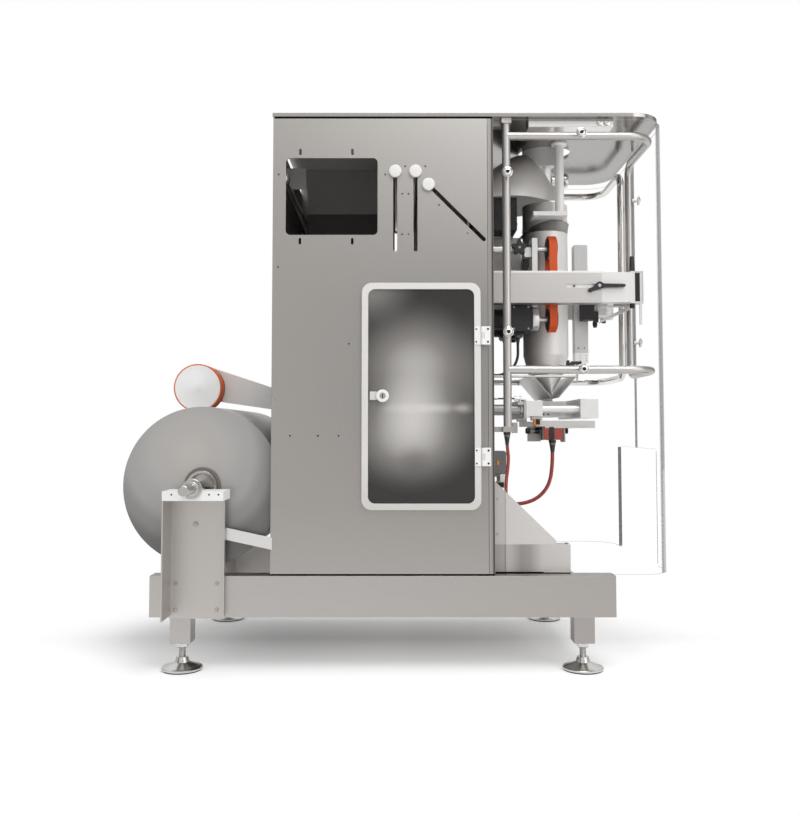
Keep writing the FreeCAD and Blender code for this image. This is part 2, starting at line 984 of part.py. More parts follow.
# Fixed hinge halves: a stepped plate on the panel with two knuckles and the pin between them.
fixed = []
for n, z in enumerate(hinge_zs, start=1):
    foot_plate = block(
        f"hinge_foot_{n}",
        (hinge_x + at.knuckle_radius + at.glass_play, hinge_x + at.hinge_plate_width + at.knuckle_radius),
        (hinge_y - at.knuckle_radius / 2, -side_face),
        (z - half_plate, z + half_plate),
    )
    pieces = [foot_plate]
    for part_name, low, high in (
        ("low", z - half_plate, z - third - at.glass_play),
        ("high", z + third + at.glass_play, z + half_plate),
    ):
        pieces.append(
            rod(f"hinge_knuckle_{part_name}_{n}", "z", (hinge_x, hinge_y), (low, high), at.knuckle_radius)
        )
        pieces.append(
            block(
                f"hinge_web_{part_name}_{n}",
                (hinge_x, hinge_x + at.hinge_plate_width),
                (hinge_y - at.knuckle_radius / 2, hinge_y + at.knuckle_radius / 2),
                (low, high),
            )
        )
    pin = rod(f"hinge_pin_{n}", "z", (hinge_x, hinge_y), (z - half_plate, z + half_plate), at.hinge_pin_radius)
    pieces.append(pin)
    fixed.append(fused(f"fixed_hinge_{n}", *pieces))
keep(set_of("door_hinges", *fixed))

# Door lock: a round head outside, a barrel through the glass and a cam that turns behind the panel's edge.
cam_front = -side_inner + at.door_gap
lock_head = rod(
    "lock_head",
    "y",
    (at.lock_x, at.lock_z),
    (door_front - at.lock_proud, door_back - at.glass_depth - 2 * at.glass_play),
    at.lock_radius,
)
lock_barrel = rod(
    "lock_barrel_rod", "y", (at.lock_x, at.lock_z), (door_front, cam_front + at.sheet), at.lock_barrel
)
lock_cam = block(
    "lock_cam",
    (at.lock_x - at.cam_width / 2, at.lock_x + at.cam_width / 2),
    (cam_front, cam_front + at.sheet),
    (at.lock_z - at.cam_reach, at.lock_z + at.cam_width / 2),
)
keep(fused("door_lock", lock_head, lock_barrel, lock_cam))

# Film adjusters: a roller across the cabinet on a spindle through both side panels, a knob at each end.
knob_inner = side_face + at.knob_gap
for n, (x, z) in enumerate(
    ((adjuster_xs[0], at.adjuster_z), (adjuster_xs[1], at.adjuster_z), (at.slant_x, at.slant_z)), start=1
):
    lengths = (
        ("spindle", knob_inner + at.knob_depth, at.slot_radius - at.spindle_play),
        ("washer", side_inner - at.knob_gap, at.washer_radius),
    )
    turned = [
        rod(f"adjuster_{n}_{word}", "y", (x, z), (-reach, reach), radius) for word, reach, radius in lengths
    ]
    roller_reach = side_inner - at.knob_gap - at.washer_depth
    turned.append(
        rod(f"adjuster_{n}_roller", "y", (x, z), (-roller_reach, roller_reach), at.roller_radius)
    )
    for word, low, high in (
        ("near", -knob_inner - at.knob_depth, -knob_inner),
        ("far", knob_inner, knob_inner + at.knob_depth),
    ):
        turned.append(rod(f"adjuster_{n}_knob_{word}", "y", (x, z), (low, high), at.knob_radius))
    keep(fused(f"film_adjuster_{n}", *turned))

# Unwinder posts: a web bolted to the rail with one deep and one shallow fold, a bearing block on top.
web_outer = base_half + at.post_sheet
block_outer = base_half + at.post_depth
post_parts = [
    block(
        "post_web", (at.post_left, at.post_right), (-web_outer, -base_half), (at.post_bottom, at.block_bottom)
    ),
    block(
        "post_fold_left",
        (at.post_left, at.post_left + at.post_sheet),
        (-block_outer, -base_half),
        (at.post_bottom + at.post_bend, at.block_bottom),
    ),
    block(
        "post_fold_right",
        (at.post_right - at.post_sheet, at.post_right),
        (-web_outer - at.post_lip, -base_half),
        (at.post_bottom + at.post_bend, at.block_bottom),
    ),
]

# Their struts: a flat bar on each side from the post down to the cabinet.
strut = body("strut_near")
strut_sketch = sketch_on(strut, "XZ_Plane", base_half)
strut_left = at.post_right - at.strut_lap
strut_right = at.cabinet_left + at.strut_foot
outline(
    strut_sketch,
    [
        (strut_left, at.strut_top - at.strut_width),
        (strut_right, at.strut_top - at.strut_fall - at.strut_width),
        (strut_right, at.strut_top - at.strut_fall),
        (strut_left, at.strut_top),
    ],
)
pad(strut, strut_sketch, base_half - side_face, backwards=True)
near_post = fused("unwind_post_near", strut, *post_parts)
keep(set_of("unwind_posts", near_post, mirrored("unwind_post_far", near_post)))

# Bearing blocks on the posts, each with a half-round notch for the reel shaft.
block_top = at.block_bottom + at.block_height
bearing = cut(
    "bearing_near",
    block(
        "bearing_body",
        (at.post_left, at.post_right + at.block_overhang),
        (-block_outer, -base_half),
        (at.block_bottom, block_top),
    ),
    rod(
        "bearing_notch",
        "y",
        (at.roll_x, at.roll_z),
        (-block_outer - 1, -base_half + 1),
        at.shaft_radius + at.shaft_play,
    ),
)
keep(set_of("bearing_blocks", bearing, mirrored("bearing_far", bearing)))

# Reel shaft with its two core chucks and end collars, and the film roll on it.
chuck_outer = at.roll_half + at.chuck_proud
chuck_inner = at.roll_half - at.chuck_depth
collar_inner = block_outer + at.knob_gap
shaft_parts = [
    rod("reel_bar", "y", (at.roll_x, at.roll_z), (-at.shaft_half, at.shaft_half), at.shaft_radius)
]
for word, low, high, radius in (
    ("chuck_near", -chuck_outer, -chuck_inner, at.core_bore - at.chuck_play),
    ("chuck_far", chuck_inner, chuck_outer, at.core_bore - at.chuck_play),
    ("collar_near", -collar_inner - at.collar_depth, -collar_inner, at.collar_radius),
    ("collar_far", collar_inner, collar_inner + at.collar_depth, at.collar_radius),
):
    shaft_parts.append(rod(word, "y", (at.roll_x, at.roll_z), (low, high), radius))
keep(fused("reel_shaft", *shaft_parts))
film_roll = body("film_roll")
roll_sketch = sketch_on(film_roll, "XZ_Plane")
circle(roll_sketch, at.roll_x, at.roll_z, at.roll_radius)
circle(roll_sketch, at.roll_x, at.roll_z, at.core_bore)
pad(film_roll, roll_sketch, 2 * at.roll_half, both_ways=True)
keep(film_roll)

# Drive arm: a deep tapered bar behind the wheel with the wheel's axle, turning on a pin in the cabinet.
wheel_x = at.roll_x - at.wheel_offset
reach_up = at.roll_radius + at.wheel_radius + at.wheel_gap
wheel_z = at.roll_z + root(reach_up * reach_up - at.wheel_offset * at.wheel_offset)
arm_near = at.wheel_near + at.wheel_width + at.arm_gap
arm_far = arm_near + at.arm_depth
arm_bar = body("arm_bar")
arm_sketch = sketch_on(arm_bar, "XZ_Plane", -arm_near)
link(
    arm_sketch,
    (wheel_x, wheel_z + at.arm_end_raise),
    at.arm_end_radius,
    (at.arm_pivot_x, at.arm_pivot_z),
    at.arm_pivot_radius,
)
circle(arm_sketch, at.arm_pivot_x, at.arm_pivot_z, at.pivot_pin_radius + at.pin_play)
pad(arm_bar, arm_sketch, at.arm_depth, backwards=True)
axle = rod("arm_axle", "y", (wheel_x, wheel_z), (at.wheel_near - at.axle_proud, arm_far), at.axle_radius)
keep(fused("drive_arm", arm_bar, axle))

# Drive wheel: a pale disc turning on the axle, with a thin orange tyre on the roll.
hub = body("drive_wheel_hub")
hub_sketch = sketch_on(hub, "XZ_Plane", -at.wheel_near)
circle(hub_sketch, wheel_x, wheel_z, at.wheel_radius - at.tyre_depth)
circle(hub_sketch, wheel_x, wheel_z, at.axle_radius + at.pin_play)
pad(hub, hub_sketch, at.wheel_width, backwards=True)
keep(hub)
tyre = body("drive_wheel_tyre")
tyre_sketch = sketch_on(tyre, "XZ_Plane", -at.wheel_near)
circle(tyre_sketch, wheel_x, wheel_z, at.wheel_radius)
circle(tyre_sketch, wheel_x, wheel_z, at.wheel_radius - at.tyre_depth)
pad(tyre, tyre_sketch, at.wheel_width, backwards=True)
keep(tyre)

# Arm bracket: a square bar across the cabinet with two ears and the pivot pin.
bar_half = at.pivot_bar / 2
pivot_bar_top = at.arm_pivot_z - at.arm_pivot_radius - 2 * at.arm_gap
ear_near = arm_near - at.arm_gap - at.ear_sheet
ear_far = arm_far + at.arm_gap
bracket_parts = [
    block(
        "pivot_cross_bar",
        (at.arm_pivot_x - bar_half, at.arm_pivot_x + bar_half),
        (-side_inner, side_inner),
        (pivot_bar_top - at.pivot_bar, pivot_bar_top),
    ),
    rod(
        "arm_pin",
        "y",
        (at.arm_pivot_x, at.arm_pivot_z),
        (ear_near, ear_far + at.ear_sheet),
        at.pivot_pin_radius,
    ),
]
for word, low in (("near", ear_near), ("far", ear_far)):
    bracket_parts.append(
        block(
            f"arm_ear_{word}",
            (at.arm_pivot_x - bar_half, at.arm_pivot_x + bar_half),
            (low, low + at.ear_sheet),
            (pivot_bar_top - at.pivot_bar, at.arm_pivot_z + at.arm_pivot_radius),
        )
    )
keep(fused("arm_bracket", *bracket_parts))

# Guards: near and far doors, each a bent tube frame on a hinge post with a clear pane outside it.
pane_inner = at.pane_half - at.pane
tube_y = pane_inner - at.standoff - at.guard_tube
front_inner_face = at.pane_front - at.pane
tube_front = front_inner_face - at.standoff - at.guard_tube
post_head = plate_bottom - at.head_bracket_depth
guard_top = post_head - at.guard_drop
guard_bottom = at.post_foot + at.guard_rise
button_high = guard_top - at.button_drop
button_low = guard_bottom + at.button_rise
pane_top = plate_bottom - at.pane_gap
frame_points = [
    (at.guard_post_x, -tube_y, guard_top),
    (tube_front, -tube_y, guard_top),
    (tube_front, -at.guard_end, guard_top),
    (tube_front, -at.guard_end, guard_bottom),
    (tube_front, -tube_y, guard_bottom),
    (at.guard_post_x, -tube_y, guard_bottom),
]
frame_radii = [at.guard_bend, at.guard_end_bend, at.guard_end_bend, at.guard_bend]
frame_path = path_of(
    [FreeCAD.Vector(*[sized(v).value for v in point]) for point in frame_points],
    [radius.value for radius in frame_radii],
)
frame_loop = feature("guard_loop", swept(frame_path, at.guard_tube.value))
studs = []
side_spots = (
    (at.guard_post_x, button_high),
    (at.guard_post_x, button_low),
    (at.button_x, guard_top),
    (at.button_x, guard_bottom),
)
for n, (x, z) in enumerate(side_spots, start=1):
    studs.append(rod(f"side_stud_{n}", "y", (x, z), (-pane_inner, -tube_y), at.stud_size))
for n, z in enumerate((button_high, button_low), start=1):
    studs.append(rod(f"front_stud_{n}", "x", (-at.guard_end, z), (tube_front, front_inner_face), at.stud_size))
post = rod(
    "guard_post",
    "z",
    (at.guard_post_x, -tube_y),
    (at.post_foot + at.guard_gap, post_head - at.guard_gap),
    at.guard_tube,
)
frame_whole = fused("guard_whole", frame_loop, post, *studs)
pin_reach = at.guard_pin_length + at.guard_gap
post_bores = [
    rod(
        f"post_bore_{word}",
        "z",
        (at.guard_post_x, -tube_y),
        span,
        at.guard_pin_radius + at.pin_play,
    )
    for word, span in (
        ("low", (at.post_foot, at.post_foot + pin_reach + 1)),
        ("high", (post_head - pin_reach - 1, post_head)),
    )
]
guard_near = keep(cut("guard_frame_near", frame_whole, *post_bores))
keep(mirrored("guard_frame_far", guard_near))
pane_near = body("guard_pane_near")
pane_sketch = sketch_on(pane_near, "XY_Plane", at.pane_bottom)
outline(
    pane_sketch,
    [
        (at.pane_back, -at.pane_half),
        (at.pane_front, -at.pane_half, at.pane_corner),
        (at.pane_front, -at.pane_meeting),
        (front_inner_face, -at.pane_meeting),
        (front_inner_face, -pane_inner, at.pane_corner - at.pane),
        (at.pane_back, -pane_inner),
    ],
)
pad(pane_near, pane_sketch, pane_top - at.pane_bottom)
mouth_sketch = sketch_on(pane_near, "YZ_Plane", at.pane_front)
outline(
    mouth_sketch,
    [
        (-at.outlet_half, at.pane_bottom - 10),
        (at.outlet_half, at.pane_bottom - 10),
        (at.outlet_half, at.outlet_top, at.outlet_corner),
        (-at.outlet_half, at.outlet_top, at.outlet_corner),
    ],
)
pocket_through(pane_near, mouth_sketch)
keep(pane_near)
keep(mirrored("guard_pane_far", pane_near))

# Hinge brackets of the guards: a low and a high ear on the front panel, each with its pin.
bracket_right = at.guard_post_x + at.bracket_reach
bracket_inner = -tube_y + at.bracket_side + at.bracket_arm
bracket_pieces = []
for word, low, high, pin_span in (
    ("low", at.post_foot - at.bracket_depth, at.post_foot, (at.post_foot, at.post_foot + at.guard_pin_length)),
    ("high", post_head, plate_bottom, (post_head - at.guard_pin_length, post_head)),
):
    ear = block(
        f"guard_ear_{word}",
        (at.guard_post_x - at.bracket_reach, bracket_right),
        (-tube_y - at.bracket_reach, bracket_inner),
        (low, high),
    )
    arm = block(
        f"guard_ear_arm_{word}",
        (at.cabinet_right, bracket_right),
        (-tube_y + at.bracket_side, bracket_inner),
        (low, high),
    )
    pin = rod(f"guard_pin_{word}", "z", (at.guard_post_x, -tube_y), pin_span, at.guard_pin_radius)
    bracket_pieces.append(fused(f"guard_bracket_{word}", ear, arm, pin))
far_brackets = [mirrored(piece.Name + "_far", piece) for piece in bracket_pieces]
keep(set_of("guard_brackets", *bracket_pieces, *far_brackets))

# Forming tube: a thin steel tube with a tapered lower mouth.
tube = body("forming_tube")
tube_inner = at.tube_radius - at.tube_wall
mouth_inner = at.tube_mouth - at.tube_wall
revolved(
    tube,
    "V_Axis",
    "XZ_Plane",
    [
        (mouth_inner, at.tube_bottom),
        (at.tube_mouth, at.tube_bottom),
        (at.tube_radius, at.tube_bottom + at.tube_taper),
        (at.tube_radius, at.tube_top),
        (tube_inner, at.tube_top),
        (tube_inner, at.tube_bottom + at.tube_taper),
    ],
)
keep(placed(tube, at.tube_x))

# Forming collar: a flared ring round the tube, under the clamp plates.
collar = body("forming_collar")
collar_inner_radius = at.tube_radius + at.fit_gap
revolved(
    collar,
    "V_Axis",
    "XZ_Plane",
    [
        (collar_inner_radius, at.collar_bottom),
        (collar_inner_radius + at.tube_wall, at.collar_bottom),
        (collar_inner_radius + at.tube_wall + at.collar_flare, at.collar_bottom + at.collar_rise),
        (collar_inner_radius + at.collar_flare, at.collar_bottom + at.collar_rise),
    ],
)
keep(placed(collar, at.tube_x))

# Forming shoulder: an arched sheet over the film's way to the tube, highest in the middle of its length.
shoulder_length = at.shoulder_right - at.shoulder_left
STATIONS = ((0.0, 0.0, 0.6), (0.28, 0.66, 1.0), (0.55, 1.0, 0.85), (0.80, 0.72, 0.3), (1.0, 0.0, 0.0))


def arch(x, half, rise, thick, base):
    """A closed thin arch across the machine: outer and inner half ellipses joined at their feet."""
    centre = FreeCAD.Vector(x, 0, base)
    edges = []
    for wide, high in ((half, rise), (half - thick, rise - thick)):
        tip = centre + FreeCAD.Vector(0, 0, high)
        side = centre + FreeCAD.Vector(0, wide, 0)
        ellipse = Part.Ellipse(side, tip, centre) if wide > high else Part.Ellipse(tip, side, centre)
        left_end = centre - FreeCAD.Vector(0, wide, 0)
        ends = sorted((ellipse.parameter(side), ellipse.parameter(left_end)))
        arc = Part.ArcOfEllipse(ellipse, *ends)
        if arc.value((ends[0] + ends[1]) / 2).z < base:
            arc = Part.ArcOfEllipse(ellipse, ends[1], ends[0] + 2 * math.pi)
        edges.append(arc.toShape())
    for sign in (1, -1):
        outer_foot = centre + FreeCAD.Vector(0, sign * half, 0)
        inner_foot = centre + FreeCAD.Vector(0, sign * (half - thick), 0)
        edges.append(Part.LineSegment(outer_foot, inner_foot).toShape())
    return Part.Wire(Part.__sortEdges__(edges))


arches = []
for along, swell, spread in STATIONS:
    rise = at.shoulder_end + (at.shoulder_ridge - at.shoulder_end) * swell
    half = at.shoulder_tip_half + (at.shoulder_half - at.shoulder_tip_half) * spread
    x = at.shoulder_left + shoulder_length * along
    arches.append(arch(x.value, half.value, rise.value, at.shoulder_sheet.value, at.shoulder_base.value))
shoulder_arch = feature("shoulder_arch", Part.makeLoft(arches, True, False))
product_hole = rod(
    "product_hole", "z", (at.tube_x, 0), (at.shoulder_base, plate_bottom), at.tube_radius
)
keep(cut("forming_shoulder", shoulder_arch, product_hole))

# Shoulder bracket: a box of sheet from the front panel, open at its top and bottom for the film.
bracket_box = block(
    "shoulder_box_outer",
    (at.cabinet_right, at.shoulder_box_right),
    (-at.shoulder_box_half, at.shoulder_box_half),
    (at.shoulder_box_bottom, at.shoulder_base),
)
bracket_hollow = block(
    "shoulder_box_inner",
    (at.cabinet_right - 1, at.shoulder_box_right - at.sheet),
    (-at.shoulder_box_half + at.sheet, at.shoulder_box_half - at.sheet),
    (at.shoulder_box_bottom + at.sheet, at.shoulder_base + 1),
)
keep(cut("shoulder_bracket", bracket_box, bracket_hollow))

# Clamp plates that grip the tube from both sides, each hung from the top plate by a rod.
clamp_top = at.clamp_bottom + at.clamp_depth
clamp = cut(
    "clamp_plate",
    block(
        "clamp_blank",
        (at.clamp_left, at.clamp_right),
        (-at.clamp_half, -at.tube_radius / 2),
        (at.clamp_bottom, clamp_top),
    ),
    rod(
        "clamp_bore",
        "z",
        (at.tube_x, 0),
        (at.clamp_bottom - 1, clamp_top + 1),
        at.tube_radius + at.fit_gap,
    ),
)
hanger = rod("hanger_rod", "z", (at.hanger_x, -at.hanger_y), (clamp_top, plate_bottom), at.hanger_radius)
near_hanger = fused("tube_hanger_near", clamp, hanger)
keep(set_of("tube_hangers", near_hanger, mirrored("tube_hanger_far", near_hanger)))

# Film below the tube, drawn from the round mouth to the flat line between the jaws.
film_top = at.tube_bottom - at.fit_gap
film_bottom = at.jaw_block_top + at.guard_gap
film_round = Part.Wire(
    [
        Part.Circle(
            FreeCAD.Vector(at.tube_x.value, 0, film_top.value), NORMAL, (at.tube_mouth + at.film_wrap).value
        ).toShape()
    ]
)
film_flat = Part.Wire(
    [
        Part.Ellipse(
            FreeCAD.Vector(at.tube_x.value, at.film_half.value, film_bottom.value),
            FreeCAD.Vector((at.tube_x + at.film_fold).value, 0, film_bottom.value),
            FreeCAD.Vector(at.tube_x.value, 0, film_bottom.value),
        ).toShape()
    ]
)
film_round.rotate(FreeCAD.Vector(at.tube_x.value, 0, 0), NORMAL, 90)
keep(feature("film_below_tube", Part.makeLoft([film_round, film_flat], True, True)))

# Deflector plates that guide the film flat, on side bars from the front panel.
deflectors = []
for word, side in (("left", -1), ("right", 1)):
    wing = body(f"deflector_{word}")
    wing_sketch = sketch_on(wing, "XZ_Plane")
    low_face = at.tube_x + side * at.deflector_bottom_half
    high_face = at.tube_x + side * at.deflector_top_half
    outline(
        wing_sketch,
        [
            (low_face, at.deflector_bottom),
            (low_face + side * at.sheet, at.deflector_bottom),
            (high_face + side * at.sheet, at.deflector_top),
            (high_face, at.deflector_top),
        ],
    )
    pad(wing, wing_sketch, 2 * at.deflector_half, both_ways=True)
    deflectors.append(wing)
arm_top = at.deflector_top
for word, low in (("near", -at.deflector_half - at.deflector_arm), ("far", at.deflector_half)):
    deflectors.append(
        block(
            f"deflector_arm_{word}",
            (at.cabinet_right, at.tube_x + at.deflector_top_half + at.sheet),
            (low, low + at.deflector_arm),
            (arm_top - at.deflector_arm_height, arm_top),
        )
    )
keep(fused("film_deflectors", *deflectors))

# Pull belts: a toothed belt round two pulleys on each side of the tube, each a fixed loop.
pulley_y = at.tube_radius + at.fit_gap + at.belt_depth + at.pulley_radius
pulley_high = at.pulley_low + at.pulley_span
belt = body("pull_belt_near")
belt_sketch = sketch_on(belt, "YZ_Plane", at.tube_x)
for radius in (at.pulley_radius + at.belt_depth, at.pulley_radius):
    link(belt_sketch, (-pulley_y, at.pulley_low), radius, (-pulley_y, pulley_high), radius)
pad(belt, belt_sketch, at.belt_width, both_ways=True)
keep(set_of("pull_belts", belt, mirrored("pull_belt_far", belt)))
belt_left = at.tube_x - at.belt_width / 2
belt_right = at.tube_x + at.belt_width / 2
carrier_right = at.carrier_x + at.carrier_plate
pulleys = []
for word, z in (("low", at.pulley_low), ("high", pulley_high)):
    wheel = rod(f"pulley_{word}", "x", (-pulley_y, z), (belt_left, belt_right), at.pulley_radius - at.pin_play)
    shaft = rod(f"pulley_shaft_{word}", "x", (-pulley_y, z), (carrier_right, belt_left), at.belt_shaft)
    pulleys.append(fused(f"belt_pulley_{word}", wheel, shaft))
pulleys += [mirrored(piece.Name + "_far", piece) for piece in pulleys]
keep(set_of("belt_pulleys", *pulleys))

# Belt carriers: a plate behind the pulleys on an arm from the front panel, and the drive motor.
motor_half = at.motor_side / 2
arm_half = at.belt_arm / 2
carrier = fused(
    "belt_carrier_near",
    block(
        "carrier_upright",
        (at.carrier_x, carrier_right),
        (-pulley_y - at.pulley_radius, -pulley_y + at.pulley_radius - at.belt_depth),
        (at.pulley_low - at.pulley_radius, pulley_high + at.pulley_radius),
    ),
    block(
        "carrier_arm",
        (at.cabinet_right, at.carrier_x),
        (-pulley_y - arm_half, -pulley_y + arm_half),
        (pulley_high - arm_half, pulley_high + arm_half),
    ),
)
motor_middle = (at.cabinet_right + at.carrier_x) / 2
drive = fused(
    "belt_drive_near",
    carrier,
    block(
        "motor_gearbox",
        (motor_middle, at.carrier_x),
        (-pulley_y - motor_half, -pulley_y + motor_half),
        (at.pulley_low - motor_half, at.pulley_low + motor_half),
    ),
    rod("motor_can", "x", (-pulley_y, at.pulley_low), (at.cabinet_right, motor_middle), at.motor_round),
)
keep(set_of("belt_drives", drive, mirrored("belt_drive_far", drive)))

# Star knobs: five-lobed screws on the belt arms that set the belts against the tube.
star_face = pulley_y + arm_half + at.guard_gap
star = body("star_knob_near")
star_sketch = sketch_on(star, "XZ_Plane", star_face + at.star_neck)
circle(star_sketch, at.star_x, pulley_high, at.star_radius - at.star_lobe)
pad(star, star_sketch, at.star_depth)
lobe_sketch = sketch_on(star, "XZ_Plane", star_face + at.star_neck)
circle(lobe_sketch, at.star_x, pulley_high + at.star_radius - at.star_lobe, at.star_lobe)
pad(star, lobe_sketch, at.star_depth)
hub_rod = rod(
    "star_stem", "y", (at.star_x, pulley_high), (-star_face - at.star_neck, -star_face), at.star_stem
)
FIFTH_TURN = 72
lobes = []
for n in range(1, 5):
    angle = math.radians(90 + n * FIFTH_TURN)
    lobes.append(
        rod(
            f"star_lobe_{n}",
            "y",
            (
                at.star_x + (at.star_radius - at.star_lobe) * round(math.cos(angle), 6),
                pulley_high + (at.star_radius - at.star_lobe) * round(math.sin(angle), 6),
            ),
            (-star_face - at.star_neck - at.star_depth, -star_face - at.star_neck),
            at.star_lobe,
        )
    )
near_star = keep(fused("belt_knob_near", star, hub_rod, *lobes))
keep(mirrored("belt_knob_far", near_star))

# Telescopic carrier beams on both sides: an open box section with a clamping slot, and the sliding beam with
# a channel bracket over its end.
beam_top = at.beam_bottom + at.beam_height
beam_inner_face = at.beam_outer - at.beam_width
outer_shell = cut(
    "carrier_beam_near",
    block(
        "beam_outer_box",
        (at.cabinet_right, at.beam_right),
        (-at.beam_outer, -beam_inner_face),
        (at.beam_bottom, beam_top),
    ),
    block(
        "beam_hollow",
        (at.cabinet_right + at.beam_wall, at.beam_right + 1),
        (-at.beam_outer + at.beam_wall, -beam_inner_face - at.beam_wall),
        (at.beam_bottom + at.beam_wall, beam_top - at.beam_wall),
    ),
)
slot_tool = block(
    "beam_slot",
    (at.beam_slot_left, at.beam_right + 1),
    (-at.beam_outer - 1, -at.beam_outer + at.beam_wall + 1),
    (at.lever_z - at.beam_slot_radius, at.lever_z + at.beam_slot_radius),
)
slotted = cut("slotted_beam_near", outer_shell, slot_tool)
keep(set_of("carrier_beams", slotted, mirrored("slotted_beam_far", slotted)))
slide_gap = at.beam_wall + at.beam_play
web_face = at.bracket_right - at.sheet
end_bracket = cut(
    "end_bracket_near",
    block(
        "end_bracket_blank",
        (at.bracket_left, at.bracket_right),
        (-at.beam_outer, -beam_inner_face),
        (at.beam_bottom, beam_top),
    ),
    block(
        "end_bracket_hollow",
        (at.bracket_left - 1, web_face),
        (-at.beam_outer - 1, -beam_inner_face + 1),
        (at.beam_bottom + at.beam_wall, beam_top - at.beam_wall),
    ),
)
slide_near = fused(
    "slide_near",
    end_bracket,
    block(
        "slide_bar",
        (at.beam_inner_left, web_face),
        (-at.beam_outer + slide_gap, -beam_inner_face - slide_gap),
        (at.beam_bottom + slide_gap, beam_top - slide_gap),
    ),
    rod(
        "lever_stud_rod",
        "y",
        (at.lever_x, at.lever_z),
        (-at.beam_outer - at.lever_depth, -at.beam_outer + slide_gap),
        at.lever_stud,
    ),
)
keep(set_of("carrier_slides", slide_near, mirrored("slide_far", slide_near)))

# Clamping lever on the near slide's stud: a round hub with a long handle and a short tail.
lever_body = body("lever_blank")
lever_sketch = sketch_on(lever_body, "XZ_Plane", at.beam_outer + at.guard_gap)
link(
    lever_sketch,
    (at.lever_x, at.lever_z),
    at.lever_hub,
    (at.lever_x + at.lever_length, at.lever_z),
    at.lever_hub / 2,
)
pad(lever_body, lever_sketch, at.lever_depth - at.guard_gap)
tail_body = body("lever_tail_plate")
tail_sketch = sketch_on(tail_body, "XZ_Plane", at.beam_outer + at.guard_gap)
link(
    tail_sketch,
    (at.lever_x - at.lever_tail, at.lever_z - at.lever_tail / 3),
    at.lever_hub / 2,
    (at.lever_x, at.lever_z),
    at.lever_hub,
)
pad(tail_body, tail_sketch, at.lever_depth - at.guard_gap)
lever_whole = fused("lever_whole", lever_body, tail_body)
lever_bore = rod(
    "lever_bore",
    "y",
    (at.lever_x, at.lever_z),
    (-at.beam_outer - at.lever_depth - 1, -at.beam_outer),
    at.lever_stud + at.pin_play,
)
keep(cut("clamping_lever", lever_whole, lever_bore))

# Vertical seal: a heated bar on two guide rods in a block, carried by a cross bar between the slides.
slide_inner = beam_inner_face + slide_gap
cross_low = (at.guide_low + at.guide_high - at.cross_bar_height) / 2
cross = block(
    "seal_cross_bar_bar",
    (at.cross_bar_left, at.cross_bar_right),
    (-slide_inner, slide_inner),
    (cross_low, cross_low + at.cross_bar_height),
)
guide_block = block(
    "seal_guide_block",
    (at.guide_block_left, at.cross_bar_left),
    (-at.seal_half, at.seal_half),
    (at.guide_low - at.guide_block_edge, at.guide_high + at.guide_block_edge),
)
guide_bores = [
    rod(f"guide_bore_{n}", "x", (0, z), (at.guide_block_left - 1, at.cross_bar_left), at.guide_rod + at.pin_play)
    for n, z in enumerate((at.guide_low, at.guide_high), start=1)
]
keep(cut("seal_cross_bar", fused("cross_bar_whole", cross, guide_block), *guide_bores))
seal_right = at.seal_left + at.seal_depth
guide_rods = [
    rod(f"seal_rod_{n}", "x", (0, z), (seal_right, seal_right + at.guide_reach), at.guide_rod)
    for n, z in enumerate((at.guide_low, at.guide_high), start=1)
]
seal_plate = block(
    "seal_bar_body",
    (at.seal_left, seal_right),
    (-at.seal_half, at.seal_half),
    (at.seal_bottom, at.seal_top),
)
keep(fused("vertical_seal_bar", seal_plate, *guide_rods))

# Cross seal jaws: a fixed guide block with two tubes, the rear jaw on it, and the front crossbar on its rods.
block_parts = [
    block(
        "jaw_block_body",
        (at.jaw_block_left, at.jaw_block_right),
        (-at.crossbar_half, at.crossbar_half),
        (at.jaw_block_bottom, at.jaw_block_top),
    ),
    block(
        "jaw_block_flange",
        (at.jaw_block_left - at.jaw_flange, at.jaw_block_left),
        (-at.crossbar_half, at.crossbar_half),
        (at.jaw_block_bottom - at.jaw_flange, at.jaw_block_top + at.jaw_flange / 2),
    ),
]
jaw_rods = []
rod_bores = []
for word, y in (("near", -at.jaw_rod_y), ("far", at.jaw_rod_y)):
    block_parts.append(
        rod(f"jaw_tube_{word}", "x", (y, at.jaw_rod_z), (at.cabinet_right, at.jaw_block_left), at.jaw_tube)
    )
    rod_bores.append(
        rod(
            f"jaw_bore_{word}",
            "x",
            (y, at.jaw_rod_z),
            (at.cabinet_right + at.sheet, at.jaw_block_right + 1),
            at.jaw_rod + at.pin_play,
        )
    )
    jaw_rods.append(
        rod(f"jaw_rod_{word}", "x", (y, at.jaw_rod_z), (at.jaw_rod_left, at.crossbar_left), at.jaw_rod)
    )
keep(cut("jaw_guide_block", fused("jaw_block_whole", *block_parts), *rod_bores))
crossbar_beam = block(
    "crossbar_beam",
    (at.crossbar_left, at.crossbar_right),
    (-at.crossbar_half, at.crossbar_half),
    (at.crossbar_bottom, at.crossbar_top),
)
keep(fused("front_crossbar", crossbar_beam, *jaw_rods))
keep(
    block(
        "rear_jaw",
        (at.jaw_block_right, at.tube_x - at.jaw_meeting),
        (-at.jaw_half, at.jaw_half),
        (at.jaw_block_bottom, at.jaw_block_top),
    )
)
front_jaw_parts = [
    block(
        "front_jaw_bar",
        (at.tube_x + at.jaw_meeting, at.jaw_link_left),
        (-at.jaw_half, at.jaw_half),
        (at.jaw_block_bottom, at.jaw_block_top),
    ),
    block(
        "front_jaw_link",
        (at.jaw_link_left, at.crossbar_left),
        (-at.jaw_link_half, at.jaw_link_half),
        (at.jaw_block_bottom, at.jaw_rod_z + at.jaw_rod),
    ),
]
keep(fused("front_jaw", *front_jaw_parts))

